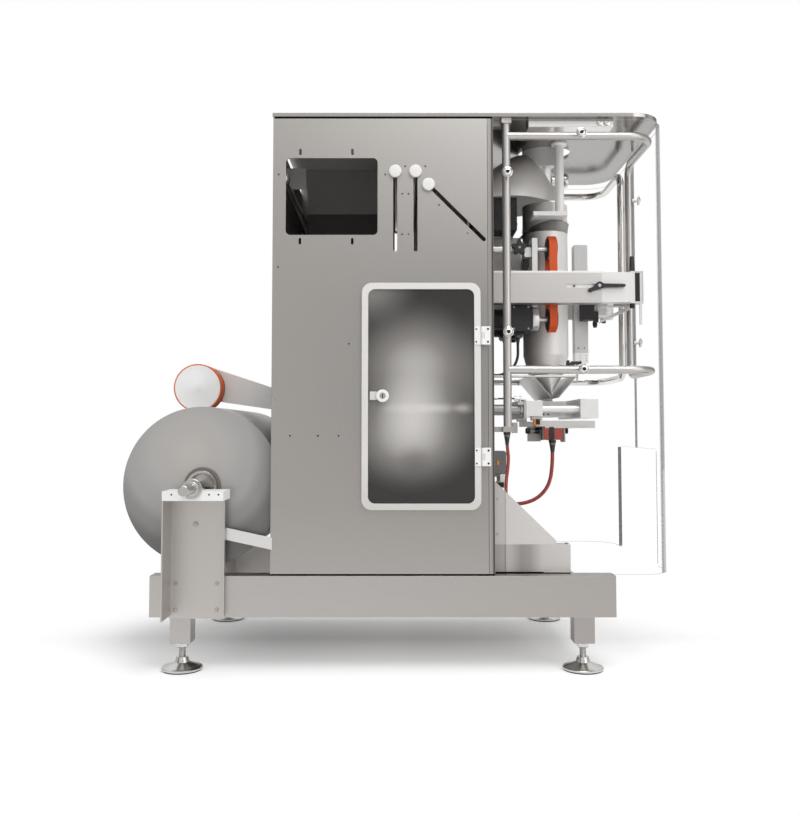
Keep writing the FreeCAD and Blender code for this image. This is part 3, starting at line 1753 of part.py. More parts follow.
# Side bars under the jaws, each on a foot from the guide block, with the heater block below the near one.
bar_top = at.jaw_block_bottom - at.side_bar_drop
bar_bottom = bar_top - at.side_bar_depth
side_bar = fused(
    "side_bar_near",
    block(
        "side_bar_flat",
        (at.side_bar_left, at.side_bar_right),
        (-at.crossbar_half, -at.side_bar_inner),
        (bar_bottom, bar_top),
    ),
    block(
        "side_bar_foot",
        (at.side_bar_left, at.jaw_block_right),
        (-at.crossbar_half, -at.side_bar_inner),
        (bar_bottom - at.heater_height, at.jaw_block_bottom),
    ),
)
keep(set_of("jaw_side_bars", side_bar, mirrored("side_bar_far", side_bar)))
keep(
    block(
        "heater_block",
        (at.heater_left, at.heater_right),
        (-at.crossbar_half, -at.heater_inner),
        (bar_bottom - at.heater_height, bar_bottom),
    )
)

# Front base box: a channel on each side of the rails, open below and joined by a low floor plate, with a
# triangular gusset on each up to the front panel.
box_top = rail_top + at.box_height
channel = cut(
    "box_channel_near",
    block(
        "box_channel_outer",
        (at.cabinet_right, at.box_right),
        (-at.box_half, -at.box_half + at.channel_depth),
        (rail_top, box_top),
    ),
    block(
        "box_channel_hollow",
        (at.cabinet_right + at.sheet, at.box_right - at.sheet),
        (-at.box_half + at.sheet, -at.box_half + at.channel_depth - at.sheet),
        (rail_top - 1, box_top - at.sheet),
    ),
)
box_floor = block(
    "box_floor",
    (at.cabinet_right, at.box_right),
    (-at.box_half + at.channel_depth - at.sheet, at.box_half - at.channel_depth + at.sheet),
    (rail_top, rail_top + 2 * at.sheet),
)
gusset = body("gusset_near")
gusset_sketch = sketch_on(gusset, "XZ_Plane", at.box_half)
outline(
    gusset_sketch,
    [
        (at.cabinet_right, box_top - at.sheet),
        (at.gusset_right, box_top - at.sheet),
        (at.gusset_right, box_top + at.gusset_toe),
        (at.cabinet_right, at.gusset_top),
    ],
)
pad(gusset, gusset_sketch, at.sheet, backwards=True)
keep(
    fused(
        "front_base_box",
        channel,
        mirrored("box_channel_far", channel),
        box_floor,
        gusset,
        mirrored("gusset_far", gusset),
    )
)

# Junction box on the front panel.
junction_box = block(
    "junction_box",
    (at.cabinet_right, at.junction_right),
    (at.junction_near, at.junction_near + at.junction_width),
    (at.junction_bottom, at.junction_bottom + at.junction_height),
)

# Cables: each leaves a gland, hangs in a loose bend and goes back into the machine at a second gland.
heater_bottom = bar_bottom - at.heater_height
ear_bottom = at.post_foot - at.bracket_depth
motor_bottom = at.pulley_low - motor_half
CABLES = {
    "heater_cable": [
        (499, -161, 658),
        (499, -161, 622),
        (497, -160, 585),
        (492, -159, 548),
        (477, -157, 514),
        (450, -155, 488),
        (418, -152, 474),
        (384, -150, 469),
        (346, -148, 466),
        (307, -148, 466),
    ],
    "guard_switch_cable": [
        (334, -322, 684),
        (334, -322, 657),
        (338, -321, 628),
        (337, -320, 596),
        (332, -319, 562),
        (330, -318, 526),
        (331, -317, 488),
        (331, -316, 448),
        (330, -316, 412),
        (330, -316, 380),
    ],
    "motor_cable": [
        (396, -120, 1008),
        (396, -120, 978),
        (396, -122, 944),
        (384, -126, 914),
        (360, -128, 893),
        (332, -129, 883),
        (307, -129, 883),
    ],
}
CABLE_ENDS = {
    "heater_cable": (("z", heater_bottom), ("x", at.cabinet_right)),
    "guard_switch_cable": (("z", ear_bottom), ("z", box_top)),
    "motor_cable": (("z", motor_bottom), ("x", at.cabinet_right)),
}
glands = []
for cable, route in CABLES.items():
    diameter = SIZES[cable]
    points = [FreeCAD.Vector(*point) for point in route]
    radii = []
    for before, corner, after in zip(points, points[1:], points[2:]):
        shorter = min((corner - before).Length, (after - corner).Length)
        half_turn = (math.pi - (before - corner).getAngle(after - corner)) / 2
        radii.append(0.45 * shorter / math.tan(half_turn))
    path = path_of(points, radii)
    tube_shape = swept(path, diameter / 2)
    expected = math.pi * (diameter / 2) ** 2 * path.Length
    print(cable, "length", round(path.Length, 1), "radii", [round(r) for r in radii])
    print(cable, "volume ratio", round(tube_shape.Volume / expected, 4))
    keep(feature(cable, tube_shape))
    size = Size(f"Sizes.{cable}", diameter)
    for word, point, (axis, face) in zip(("start", "end"), (points[0], points[-1]), CABLE_ENDS[cable]):
        spot = {"x": point.x, "y": point.y, "z": point.z}
        across = [spot[other] for other in "xyz" if other != axis]
        reach = sized(spot[axis])
        span = (face, reach) if face.value < reach.value else (reach, face)
        glands.append(rod(f"{cable}_{word}_gland", axis, across, span, size / 2 + at.gland_wall))
keep(set_of("cable_fittings", junction_box, *glands))

document.recompute()

faults = [
    piece.Name for piece in document.Objects if "Invalid" in piece.State or "Error" in piece.State
]
for piece in nodes:
    if piece.Shape.isNull() or not piece.Shape.isValid():
        faults.append(piece.Label)
if faults:
    raise RuntimeError(f"failed pieces: {faults}")

os.makedirs("parts", exist_ok=True)
for piece in nodes:
    piece.Shape.exportStep(f"parts/{piece.Label}.step")
print(len(nodes), "sub-parts written")
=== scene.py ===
import math

import bmesh
import bpy
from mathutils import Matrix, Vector


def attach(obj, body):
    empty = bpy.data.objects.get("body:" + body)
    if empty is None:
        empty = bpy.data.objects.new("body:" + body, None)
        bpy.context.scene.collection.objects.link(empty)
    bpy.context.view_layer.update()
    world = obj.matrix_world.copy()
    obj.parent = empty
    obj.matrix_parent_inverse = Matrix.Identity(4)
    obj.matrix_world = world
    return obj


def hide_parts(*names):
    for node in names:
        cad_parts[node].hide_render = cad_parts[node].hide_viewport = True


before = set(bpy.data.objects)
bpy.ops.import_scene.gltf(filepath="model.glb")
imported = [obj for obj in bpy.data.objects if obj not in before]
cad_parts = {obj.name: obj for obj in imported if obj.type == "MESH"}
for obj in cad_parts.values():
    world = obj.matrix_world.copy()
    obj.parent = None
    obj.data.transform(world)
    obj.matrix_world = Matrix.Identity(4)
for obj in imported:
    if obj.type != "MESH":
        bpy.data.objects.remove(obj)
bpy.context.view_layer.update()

# Camera: it stands in front of the operator's side at the height of the seal jaws and looks slightly up.
# Its lens and a small shift frame the machine from the feet to the top plate.
camera = bpy.data.objects.new("camera", bpy.data.cameras.new("camera"))
bpy.context.scene.collection.objects.link(camera)
camera.location = (0.0105, -2.9488, 0.7062)
camera.rotation_euler = (math.radians(92.93), 0, 0)
camera.data.sensor_width = 36
camera.data.lens = 38.34
camera.data.shift_y = -0.0269
bpy.context.scene.camera = camera


# Cables: round cables with a moulded sheath and a woven layer under it. Each leaves a gland, hangs in a
# loose bend and goes back into the machine at a second gland.
def shade(red, green, blue):
    """A colour given as it looks on the finished surface, in steps of 0 to 255."""
    light = []
    for level in (red / 255, green / 255, blue / 255):
        light.append(level / 12.92 if level <= 0.04045 else ((level + 0.055) / 1.055) ** 2.4)
    return (*light, 1.0)


def add(tree, kind, inputs=(), **settings):
    """One more node in a material, fed by values or by other nodes' outlets."""
    made = tree.nodes.new("ShaderNode" + kind)
    for word, value in settings.items():
        setattr(made, word, value)
    for socket, source in dict(inputs).items():
        if isinstance(source, bpy.types.NodeSocket):
            tree.links.new(source, made.inputs[socket])
        else:
            made.inputs[socket].default_value = source
    return made


def rescaled(tree, value, start, stop, low=0.0, high=1.0, smooth=False):
    """A number carried over from one range to another."""
    inputs = {"Value": value, "From Min": start, "From Max": stop, "To Min": low, "To Max": high}
    curve = "SMOOTHSTEP" if smooth else "LINEAR"
    return add(tree, "MapRange", inputs, interpolation_type=curve).outputs[0]


def surface(
    name, paint, roughness, metallic=0.0, grain=(900, 900, 900), contrast=0.06, depth=0.01, edge=0, **sockets
):
    """A finish with its own grain: colour and roughness wander with it, and it is depth millimetres deep."""
    material = bpy.data.materials.new(name)
    material.use_nodes = True
    tree = material.node_tree
    shader = tree.nodes["Principled BSDF"]
    shader.inputs["Metallic"].default_value = metallic
    for socket, value in sockets.items():
        shader.inputs[socket.replace("_", " ")].default_value = value
    place = add(tree, "TexCoord").outputs["Object"]
    stretched = add(tree, "Mapping", {"Vector": place, "Scale": grain})
    noise = add(tree, "TexNoise", {"Vector": stretched.outputs[0], "Scale": 1, "Detail": 4, "Roughness": 0.6})
    fine = noise.outputs[0]
    tint = rescaled(tree, fine, 0.25, 0.75, 1 - contrast, 1 + contrast)
    base = paint(tree, place) if callable(paint) else shade(*paint)[:3]
    toned = add(tree, "VectorMath", {0: base, "Scale": tint}, operation="SCALE")
    tree.links.new(toned.outputs[0], shader.inputs["Base Color"])
    worn = rescaled(tree, fine, 0.0, 1.0, roughness - 0.05, roughness + 0.05)
    tree.links.new(worn, shader.inputs["Roughness"])
    relief = add(tree, "Bump", {"Height": fine, "Distance": depth / 1000})
    if edge:
        eased = add(tree, "Bevel", {"Radius": edge / 1000}, samples=4)
        tree.links.new(eased.outputs[0], relief.inputs["Normal"])
    tree.links.new(relief.outputs[0], shader.inputs["Normal"])
    return material


def turned(outline, base, axis=(0, 0, 1), sides=48):
    """A form turned on a lathe: (radius, height) pairs spun round an axis that starts at base. An outline
    that comes back to its start makes a ring."""
    lean = Vector((0, 0, 1)).rotation_difference(Vector(axis)).to_matrix()
    ring = outline[0] == outline[-1]
    points, rows, faces = [], [], []
    for radius, height in outline[:-1] if ring else outline:
        steps = sides if radius else 1
        rows.append(range(len(points), len(points) + steps))
        for n in range(steps):
            angle = 2 * math.pi * (n + 0.5) / sides
            spot = Vector((radius * math.cos(angle), radius * math.sin(angle), height))
            points.append(Vector(base) + lean @ spot)
    for low, high in zip(rows, rows[1:] + rows[:1] if ring else rows[1:]):
        for n in range(sides):
            m = (n + 1) % sides
            corners = [low[n % len(low)], low[m % len(low)], high[m % len(high)], high[n % len(high)]]
            corners = list(dict.fromkeys(corners))
            if len(corners) > 2:
                faces.append(corners)
    return points, faces


def solid(rim, base, axis=(0, 0, 1), sides=48):
    """A turned form with a flat face at both ends of its rim."""
    return turned(((0, rim[0][1]), *rim, (0, rim[-1][1])), base, axis, sides)


def part(name, slot, material, edge, *shapes, body="machine", stands_for=()):
    """Makes a piece of shapes drawn in millimetres, with softened edges, its finish and body. The slot is not
    used.
    """
    bm = bmesh.new()
    for points, faces in shapes:
        corners = [bm.verts.new(spot) for spot in points]
        for face in faces:
            bm.faces.new([corners[n] for n in face])
    bmesh.ops.recalc_face_normals(bm, faces=bm.faces)
    bmesh.ops.scale(bm, vec=(0.001, 0.001, 0.001), verts=bm.verts)
    mesh = bpy.data.meshes.new(name)
    bm.to_mesh(mesh)
    bm.free()
    mesh.materials.append(material)
    made = bpy.data.objects.new(name, mesh)
    bpy.context.scene.collection.objects.link(made)
    mesh.shade_smooth()
    mesh.set_sharp_from_angle(angle=math.radians(35))
    if edge:
        soft = made.modifiers.new("softened_edges", "BEVEL")
        soft.width = edge / 1000
        soft.segments = 2
        soft.limit_method = "ANGLE"
        soft.angle_limit = math.radians(40)
        soft.harden_normals = True
    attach(made, body)
    if stands_for:
        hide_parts(*stands_for)
    return made


red_sheath = surface("red_sheath", (156, 60, 50), 0.42, contrast=0.22, depth=0.12, grain=(700, 700, 350))
black_sheath = surface("black_sheath", (34, 33, 34), 0.4, contrast=0.2, depth=0.08, grain=(700, 700, 350))
gland_nylon = surface("gland_nylon", (38, 38, 40), 0.35, contrast=0.1, depth=0.02)
GLAND_NUT = 8
SLEEVE = 24
SLEEVE_RIBS, RIB_STEP = 5, 4.5
CABLES = (
    ("heater_lead", "heater_cable", "cable_red", red_sheath, 12, 330.6, (
        (499, -161, 658), (499, -161, 622), (497, -160, 585), (492, -159, 548), (477, -157, 514),
        (450, -155, 488), (418, -152, 474), (384, -150, 469), (346, -148, 466), (307, -148, 466),
    )),
    ("guard_switch_lead", "guard_switch_cable", "cable_red", red_sheath, 10, 304.6, (
        (334, -322, 684), (334, -322, 657), (338, -321, 628), (337, -320, 596), (332, -319, 562),
        (330, -318, 526), (331, -317, 488), (331, -316, 448), (330, -316, 412), (330, -316, 380),
    )),
    ("motor_lead", "motor_cable", "cable_black", black_sheath, 9, 181.9, (
        (396, -120, 1008), (396, -120, 978), (396, -122, 944), (384, -126, 914), (360, -128, 893),
        (332, -129, 883), (307, -129, 883),
    )),
)
for name, node, slot, sheath, diameter, length, route in CABLES:
    line = bpy.data.curves.new(name, "CURVE")
    line.dimensions = "3D"
    line.bevel_depth = diameter / 2000
    line.bevel_resolution = 6
    line.use_fill_caps = True
    spline = line.splines.new("NURBS")
    spline.points.add(len(route) - 1)
    for point, spot in zip(spline.points, route):
        point.co = (spot[0] / 1000, spot[1] / 1000, spot[2] / 1000, 1)
    spline.order_u = 3
    spline.use_endpoint_u = True
    spline.resolution_u = 16
    line.materials.append(sheath)
    lead = bpy.data.objects.new(name, line)
    bpy.context.scene.collection.objects.link(lead)
    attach(lead, "machine")
    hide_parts(node)
    nut, wide, slim = diameter / 2 + 6, diameter / 2 + 3.5, diameter / 2 + 0.9
    sleeve = [(wide, -9), (wide, -2)]
    for n in range(SLEEVE_RIBS):
        radius = wide + (slim - wide) * n / (SLEEVE_RIBS - 1)
        start = n * RIB_STEP
        sleeve += [(radius, start), (radius - 0.7, start + 1.5), (radius - 0.7, start + 3)]
    sleeve += [(slim, SLEEVE - 1)]
    for word, spot, beyond in (("out", route[0], route[1]), ("in", route[-1], route[-2])):
        away = (Vector(beyond) - Vector(spot)).normalized()
        part(
            f"{name}_gland_{word}", "black_plastic", gland_nylon, 0.4,
            solid(((nut, -16), (nut, -16 + GLAND_NUT)), spot, away, 6),
            solid(sleeve, spot, away, 24),
        )


# Base frame: two long rails of box section with cross beams welded between them, on four square legs. All
# of it is steel, ground along its length.
def banded(tree, share, stops, curve="LINEAR"):
    """A colour picked by a share from 0 to 1, out of (share, colour) stops in rising order."""
    band = add(tree, "ValToRGB", {"Fac": share})
    band.color_ramp.interpolation = curve
    marks = band.color_ramp.elements
    while len(marks) < len(stops):
        marks.new(0.5)
    for mark, (spot, colour) in zip(marks, stops):
        mark.position = spot
    for mark, (spot, colour) in zip(marks, stops):
        mark.color = colour
    return band.outputs["Color"]


def along(axis, *stops):
    """Paint that changes along one axis, through stops of (millimetres, colour) in rising order."""
    low, high = stops[0][0] / 1000, stops[-1][0] / 1000
    marks = [((height / 1000 - low) / (high - low), shade(*colour)) for height, colour in stops]

    def paint(tree, place):
        parts = add(tree, "SeparateXYZ", {"Vector": place})
        return banded(tree, rescaled(tree, parts.outputs[axis], low, high), marks)

    return paint


def dress(material, *nodes):
    """Gives the frame's own solids a finish."""
    for node in nodes:
        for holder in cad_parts[node].material_slots:
            holder.material = material


# Painted shade: the rails and legs are painted lighter at the left end and darker towards the right.
rail_painted_shade = along("X", (-725, (192, 188, 184)), (-500, (188, 184, 181)), (645, (176, 171, 167)))
leg_painted_shade = along("X", (-663, (188, 184, 181)), (581, (170, 165, 162)))
rail_steel = surface("rail_steel", rail_painted_shade, 0.4, 1.0, (14, 700, 700), 0.04, 0.006, 1.5)
leg_steel = surface("leg_steel", leg_painted_shade, 0.4, 1.0, (700, 700, 14), 0.04, 0.006, 1.2)
dress(rail_steel, "base_rails", "base_cross_beams")
dress(leg_steel, "base_legs")

# Levelling feet: a rubber sole under a polished dished plate, a threaded stud, a nut on the plate's neck and
# a lock nut under the leg.
sole_rubber = surface("sole_rubber", (30, 30, 31), 0.7, contrast=0.2, depth=0.05)
dish_steel = surface("dish_steel", (205, 203, 200), 0.16, 1.0, (40, 40, 900), 0.05, 0.004)
DISH = ((60, 4), (60, 8.5), (57, 11), (50, 12.5), (28, 20), (22, 24), (19, 34), (17, 39))
THREAD_START, PITCH, TURNS = 37, 3, 15
LEG_LOW = 82
thread = [(0, THREAD_START - 1)]
for n in range(TURNS):
    thread += [(8.7, THREAD_START + n * PITCH), (10, THREAD_START + (n + 0.5) * PITCH)]
thread += [(8.7, LEG_LOW), (0, LEG_LOW)]
soles, dishes, studs = [], [], []
for spot in [(x, y, 0) for x in (-633, 551) for y in (-345, 345)]:
    soles.append(solid(((57, 0), (59, 2), (59, 5)), spot))
    dishes.append(solid(DISH, spot, sides=64))
    studs.append(turned(thread, spot, sides=24))
    studs.append(solid(((16, 66), (18, 68), (18, 78), (16, 80)), spot, sides=6))
    studs.append(solid(((19, 80), (19, LEG_LOW)), spot, sides=32))
part("foot_soles", "black_plastic", sole_rubber, 0, *soles)
part("foot_dishes", "foot_steel", dish_steel, 0, *dishes, stands_for=["levelling_feet"])
part("foot_studs", "foot_steel", dish_steel, 0.4, *studs)


# Cabinet: folded sheets of stainless steel with a fine upright brush. They stand on the frame and carry the
# top plate, with painted shade in the gaps: black strips stand for the shade there.
def changing(share, one, other):
    """Paint that changes over from one to another as the share's paint goes from black to white."""
    def paint(tree, place):
        mix = add(tree, "Mix", data_type="RGBA")
        for inlet, source in ((0, share), (6, one), (7, other)):
            tree.links.new(source(tree, place), mix.inputs[inlet])
        return mix.outputs[2]

    return paint


def brick(x, y, z, side=1):
    """A block between two lengths along each axis. Side -1 lays it on the operator's half."""
    points = [(a, side * b, c) for a in x for b in y for c in z]
    return points, ((0, 1, 3, 2), (4, 6, 7, 5), (0, 4, 5, 1), (2, 3, 7, 6), (0, 2, 6, 4), (1, 5, 7, 3))


BLACK, WHITE = (0, 0, 0), (255, 255, 255)
SIDES = (-1, 1)
# Painted light: the cabinet sheets carry bands of lighter and darker steel by height, mixed from left to
# right, for the studio light they mirror.
panel_painted_sheen = changing(
    along("X", (-372, BLACK), (280, WHITE)),
    along(
        "Z", (283, (178, 174, 170)), (480, (172, 167, 163)), (750, (174, 169, 165)),
        (1100, (174, 169, 165)), (1400, (173, 169, 165)), (1646, (176, 172, 168)),
    ),
    along(
        "Z", (283, (174, 170, 166)), (480, (164, 159, 155)), (750, (152, 148, 145)),
        (1100, (156, 152, 149)), (1400, (177, 173, 170)), (1646, (184, 181, 178)),
    ),
)
# Painted shade: the front panel is painted darker towards its folded corner, with a dark band in the fold
# itself.
corner_painted_shade = along(
    "X", (270, (176, 172, 168)), (283, (160, 157, 153)), (287, (84, 82, 80)), (290, (84, 82, 80)),
    (290.6, (168, 165, 162)),
)
panel_steel = surface("panel_steel", panel_painted_sheen, 0.42, 1.0, (900, 900, 16), 0.035, 0.005, 1.0)
corner_steel = surface("corner_steel", corner_painted_shade, 0.36, 1.0, (900, 900, 16), 0.035, 0.005, 1.0)
lining_steel = surface("lining_steel", (150, 146, 143), 0.5, 1.0, (20, 600, 600), 0.05, 0.006)
# Painted shade: a near-black finish that stands for the shade in gaps, slots and hollows.
painted_shade_black = surface("painted_shade_black", (6, 6, 6), 0.9, contrast=0.2, depth=0.03, Specular_IOR_Level=0.1)
dress(panel_steel, "cabinet_near_panel", "cabinet_far_panel", "cabinet_rear_panels")
dress(corner_steel, "cabinet_front_panel")
dress(lining_steel, "cabinet_floor")
FLOOR_GAP, ROOF_GAP = (278.2, 283), (1646, 1653)
# Painted shade: black strips in the gaps above and below the side panels and along the front edge.
gap_shades = []
for gap in (FLOOR_GAP, ROOF_GAP):
    gap_shades += [brick((-369, 289), (367, 369), gap, side) for side in SIDES]
    gap_shades.append(brick((287, 289.5), (-367, 367), gap))
part("cabinet_gap_shades", "black_plastic", painted_shade_black, 0, *gap_shades)

# Film bay behind the window: lining sheets and a dark ledge, bent from steel, and a polished guide roller
# that black bearings hold at both ends.
bay_lining = surface("bay_lining", (166, 162, 159), 0.5, 0.0, (20, 500, 500), 0.06, 0.006)
ledge_dark = surface("ledge_dark", (78, 70, 67), 0.5, 0.0, (20, 500, 500), 0.06, 0.006)
# Painted light: the roof lining is painted white at its left end and greyer towards the right, for the light
# that reaches into the bay.
roof_painted_light = along("X", (-369, (255, 253, 250)), (-200, (250, 247, 244)), (-57, (206, 202, 199)))
roof_lining = surface("roof_lining", roof_painted_light, 0.5, 0.0, (20, 500, 500), 0.04, 0.006)
chrome = surface("polished_chrome", (222, 220, 217), 0.1, 1.0, (60, 60, 60), 0.015, 0.0)
dress(chrome, "guide_roller")
part(
    "bay_back_lining", "dark_steel", bay_lining, 0.6,
    brick((-319, -57), (106, 109.5), (1473, 1631)),
    brick((-368.5, -292), (-182, -180), (1482, 1551)),
)
part(
    "bay_lower_ledge", "dark_steel", ledge_dark, 0.6,
    brick((-318, -57), (98, 100), (1380, 1438)),
    brick((-318, -57), (100, 109.5), (1436, 1438)),
    brick((-318, -57), (107, 109.5), (1438, 1473)),
)
part(
    "bay_roof_lining", "dark_steel", roof_lining, 0.4,
    brick((-368.5, -40), (-366.5, 105.5), (1631.5, 1633.7)),
)
BEARING = ((14.2, 0), (20, 0), (20, 14), (17, 16), (14.2, 16))
part(
    "roller_bearings", "black_plastic", gland_nylon, 0.5,
    *[turned(BEARING, (-343, side * 349, 1464), (0, side, 0), 32) for side in SIDES],
)


# Glazed door: a steel frame in pale enamel round a sheet of frosted glass. It hangs on two plate hinges with
# small black screws, and a round lock shuts it.
def distance(tree, place, centre, size):
    """How far a spot lies from a centre in the upright plane, as a share of a size across and one up."""
    shift = add(tree, "Mapping", {
        "Vector": place,
        "Location": (-centre[0] / size[0], 0, -centre[1] / size[1]),
        "Scale": (1000 / size[0], 0, 1000 / size[1]),
    })
    return add(tree, "VectorMath", {0: shift.outputs[0]}, operation="LENGTH").outputs["Value"]


# Painted light: each pool is a centre, a size across and up, and how much brighter it is painted.
LIGHT_POOLS = (
    ((57, 890), (230, 220), 0.47), ((42, 700), (230, 190), 0.54), ((52, 622), (60, 60), -0.08),
    ((-90, 1130), (170, 130), 0.30), ((260, 860), (110, 260), 0.10),
)
CROSS_BAR_GLOW = (
    ((-20, 771), (55, 22), 0.05), ((35, 771), (60, 22), 0.07), ((90, 771), (60, 22), 0.09),
    ((145, 771), (60, 22), 0.13), ((200, 771), (40, 24), 0.28),
)


def frosted_painted_light(tree, place):
    """Painted light: soft pools of light on the frosted sheet stand for the lit inside behind it, and the
    cross bar behind it is painted as a pale band.
    """
    total = 0.0
    for centre, size, level in LIGHT_POOLS + CROSS_BAR_GLOW:
        pool = rescaled(tree, distance(tree, place, centre, size), 0, 1, level, 0, smooth=True)
        total = add(tree, "Math", {0: total, 1: pool}).outputs[0]
    depths = ((0.0, (42, 39, 37)), (0.3, (128, 125, 122)), (0.62, (206, 203, 200)))
    return banded(tree, total, [(spot, shade(*colour)) for spot, colour in depths])


def screw(wide, top, rim, crown, spot, axis, sides=16):
    """A screw head: its width, the width of its top, and the heights of its rim and its crown."""
    return turned(((0, 0), (wide, 0), (top, rim), (0, crown)), spot, axis, sides)


def rod(radius, length, base, axis, sides=48):
    """A plain round bar."""
    return solid(((radius, 0), (radius, length)), base, axis, sides)


NEAR, FAR = (0, -1, 0), (0, 1, 0)
# Painted shade: the door's enamel is painted darker towards the bottom.
door_painted_shade = along("Z", (440, (204, 202, 198)), (620, (218, 216, 212)), (1250, (222, 220, 216)))
door_enamel = surface("door_enamel", door_painted_shade, 0.45, 0.0, (120, 120, 120), 0.02, 0.03, 1.5)
frosted_glass = surface("frosted_glass", frosted_painted_light, 0.3, 0.0, (1500, 1500, 1500), 0.05, 0.02)
hinge_zinc = surface("hinge_zinc", (240, 239, 237), 0.4, 0.0, (200, 200, 200), 0.03, 0.01, 0.8)
screw_black = surface("screw_black", (40, 40, 41), 0.35, 0.6, contrast=0.1)
dress(door_enamel, "cabinet_door")
dress(frosted_glass, "cabinet_door_glass")
dress(hinge_zinc, "door_hinges")
dress(chrome, "door_lock")
HINGE_HEIGHTS = (627, 986)
SCREW_HEIGHTS = [z + step for z in HINGE_HEIGHTS for step in (-19, 19)]
part(
    "hinge_leaves", "frame_steel", hinge_zinc, 0.6,
    *[brick((231, 249.6), (-388.4, -385), (z - 27, z + 27)) for z in HINGE_HEIGHTS],
    body="cabinet_door",
)
part(
    "hinge_leaf_screws", "dark_steel", screw_black, 0,
    *[screw(2.6, 2.2, 1, 1.2, (236.5, -388.4, z), NEAR) for z in SCREW_HEIGHTS],
    body="cabinet_door",
)
part(
    "hinge_screws", "dark_steel", screw_black, 0,
    *[screw(3.2, 2.8, 1, 1.2, (271, -391, z), NEAR) for z in SCREW_HEIGHTS],
)
part(
    "door_latch_block", "pale_frame", door_enamel, 1.2,
    brick((-79, -58), (-384.5, -379.3), (795, 820)),
    body="cabinet_door",
)
LOCK = (-41, -393, 807)
ROSETTE = ((9.5, 0), (18.5, 0), (18.5, 1.2), (16.5, 2), (11, 1.0), (9.5, 1.0))
part("lock_rosette", "polished_tube", hinge_zinc, 0.2, turned(ROSETTE, LOCK, NEAR), body="door_lock")
part("lock_barrel_face", "dark_steel", bay_lining, 0.2, rod(9.4, 0.8, LOCK, NEAR), body="door_lock")
# Painted shade: the keyway is a black plate that stands for the shade in the slot.
part(
    "lock_keyway", "dark_steel", painted_shade_black, 0,
    brick((-42.2, -39.8), (-394.6, -393.8), (801, 813)),
    body="door_lock",
)

# Film adjusters: each is a steel roller on a spindle that runs in slots through both side panels, with a
# white plastic knob on each end.
knob_plastic = surface("knob_plastic", (228, 226, 223), 0.35, contrast=0.02, depth=0.01)
spindle_steel = surface("spindle_steel", (196, 193, 190), 0.24, 1.0, (60, 900, 60), 0.05, 0.004)
ROLLER = ((13, 0), (14, 1), (14, 721), (13, 722))
KNOB = ((0, 0), (18, 0), (19, 1), (19, 7), (17.5, 9), (13, 10), (0, 10.2))
for n, (x, z) in enumerate(((-4, 1484), (57, 1484), (96, 1444)), start=1):
    part(
        f"adjuster_roller_{n}", "polished_tube", spindle_steel, 0.3,
        rod(5.8, 762, (x, -381, z), FAR, 24),
        rod(12, 5, (x, -366, z), FAR, 32),
        rod(12, 5, (x, 361, z), FAR, 32),
        solid(ROLLER, (x, -361, z), FAR, 32),
        body=f"adjuster_{n}", stands_for=[f"film_adjuster_{n}"],
    )
    part(
        f"adjuster_knobs_{n}", "knob_white", knob_plastic, 0,
        *[turned(KNOB, (x, side * 371, z), (0, side, 0), 64) for side in SIDES],
        body=f"adjuster_{n}",
    )

# Unwinder posts: folded steel bolted to the rails, with a strut to the cabinet and a white plastic bearing
# block on top that holds the shaft in a half-round notch.
post_paint = along(
    "X", (-666, (196, 192, 188)), (-510, (194, 189, 185)), (-501, (196, 192, 188)), (-498, (228, 226, 224)),
    (-366, (226, 224, 222)),
)
post_steel = surface("post_steel", post_paint, 0.4, 1.0, (900, 900, 16), 0.035, 0.005, 1.0)
bolt_steel = surface("bolt_steel", (176, 173, 170), 0.28, 1.0, contrast=0.08, depth=0.01)
acetal = surface("acetal", (246, 246, 245), 0.4, 0.0, (150, 150, 150), 0.015, 0.02, 1.0)
dress(post_steel, "unwind_posts")
dress(acetal, "bearing_blocks")


def hex_bolt(spot, axis, radius):
    """A hexagon bolt head on its washer."""
    rim = ((radius * 0.95, 1.4), (radius, 2), (radius, radius * 0.9), (radius * 0.85, radius * 1.05))
    head = turned(((0, 1.4), *rim, (0, radius * 1.1)), spot, axis, 6)
    return rod(radius * 1.5, 1.4, spot, axis, 32), head


POST_FACE, BLOCK_FACE = 379, 473
bolts, screws = [], []
for side in SIDES:
    for x, z, radius in (
        (-590.5, 430, 6), (-647, 257, 4.5), (-526, 257, 4.5), (-647, 181, 4.5), (-526, 181, 4.5)
    ):
        bolts += hex_bolt((x, side * POST_FACE, z), (0, side, 0), radius)
    for x in (-638.5, -531.5, -504.6):
        screws.append(screw(2.6, 2.6, 0.6, 0.7, (x, side * BLOCK_FACE, 522.8), (0, side, 0)))
part("post_bolts", "frame_steel", bolt_steel, 0.2, *bolts)
part("block_screws", "dark_steel", screw_black, 0, *screws)


# Film roll: plastic film wound tight on a board core. Its layers show as fine rings on both ends, and the
# core stands out a little from the film.
def roll_painted_light(tree, place):
    """Painted light and shade: the film's side is painted brightest left of the shaft and darker towards the
    cabinet.
    """
    stops = (
        (0.0, (190, 185, 180)), (0.1, (181, 178, 175)), (0.18, (168, 167, 166)), (0.23, (146, 144, 142)),
        (0.28, (117, 115, 113)), (0.4, (104, 102, 100)),
    )
    away = distance(tree, place, (-615, 632), (1000, 1000))
    return banded(tree, away, [(spot, shade(*colour)) for spot, colour in stops], "EASE")


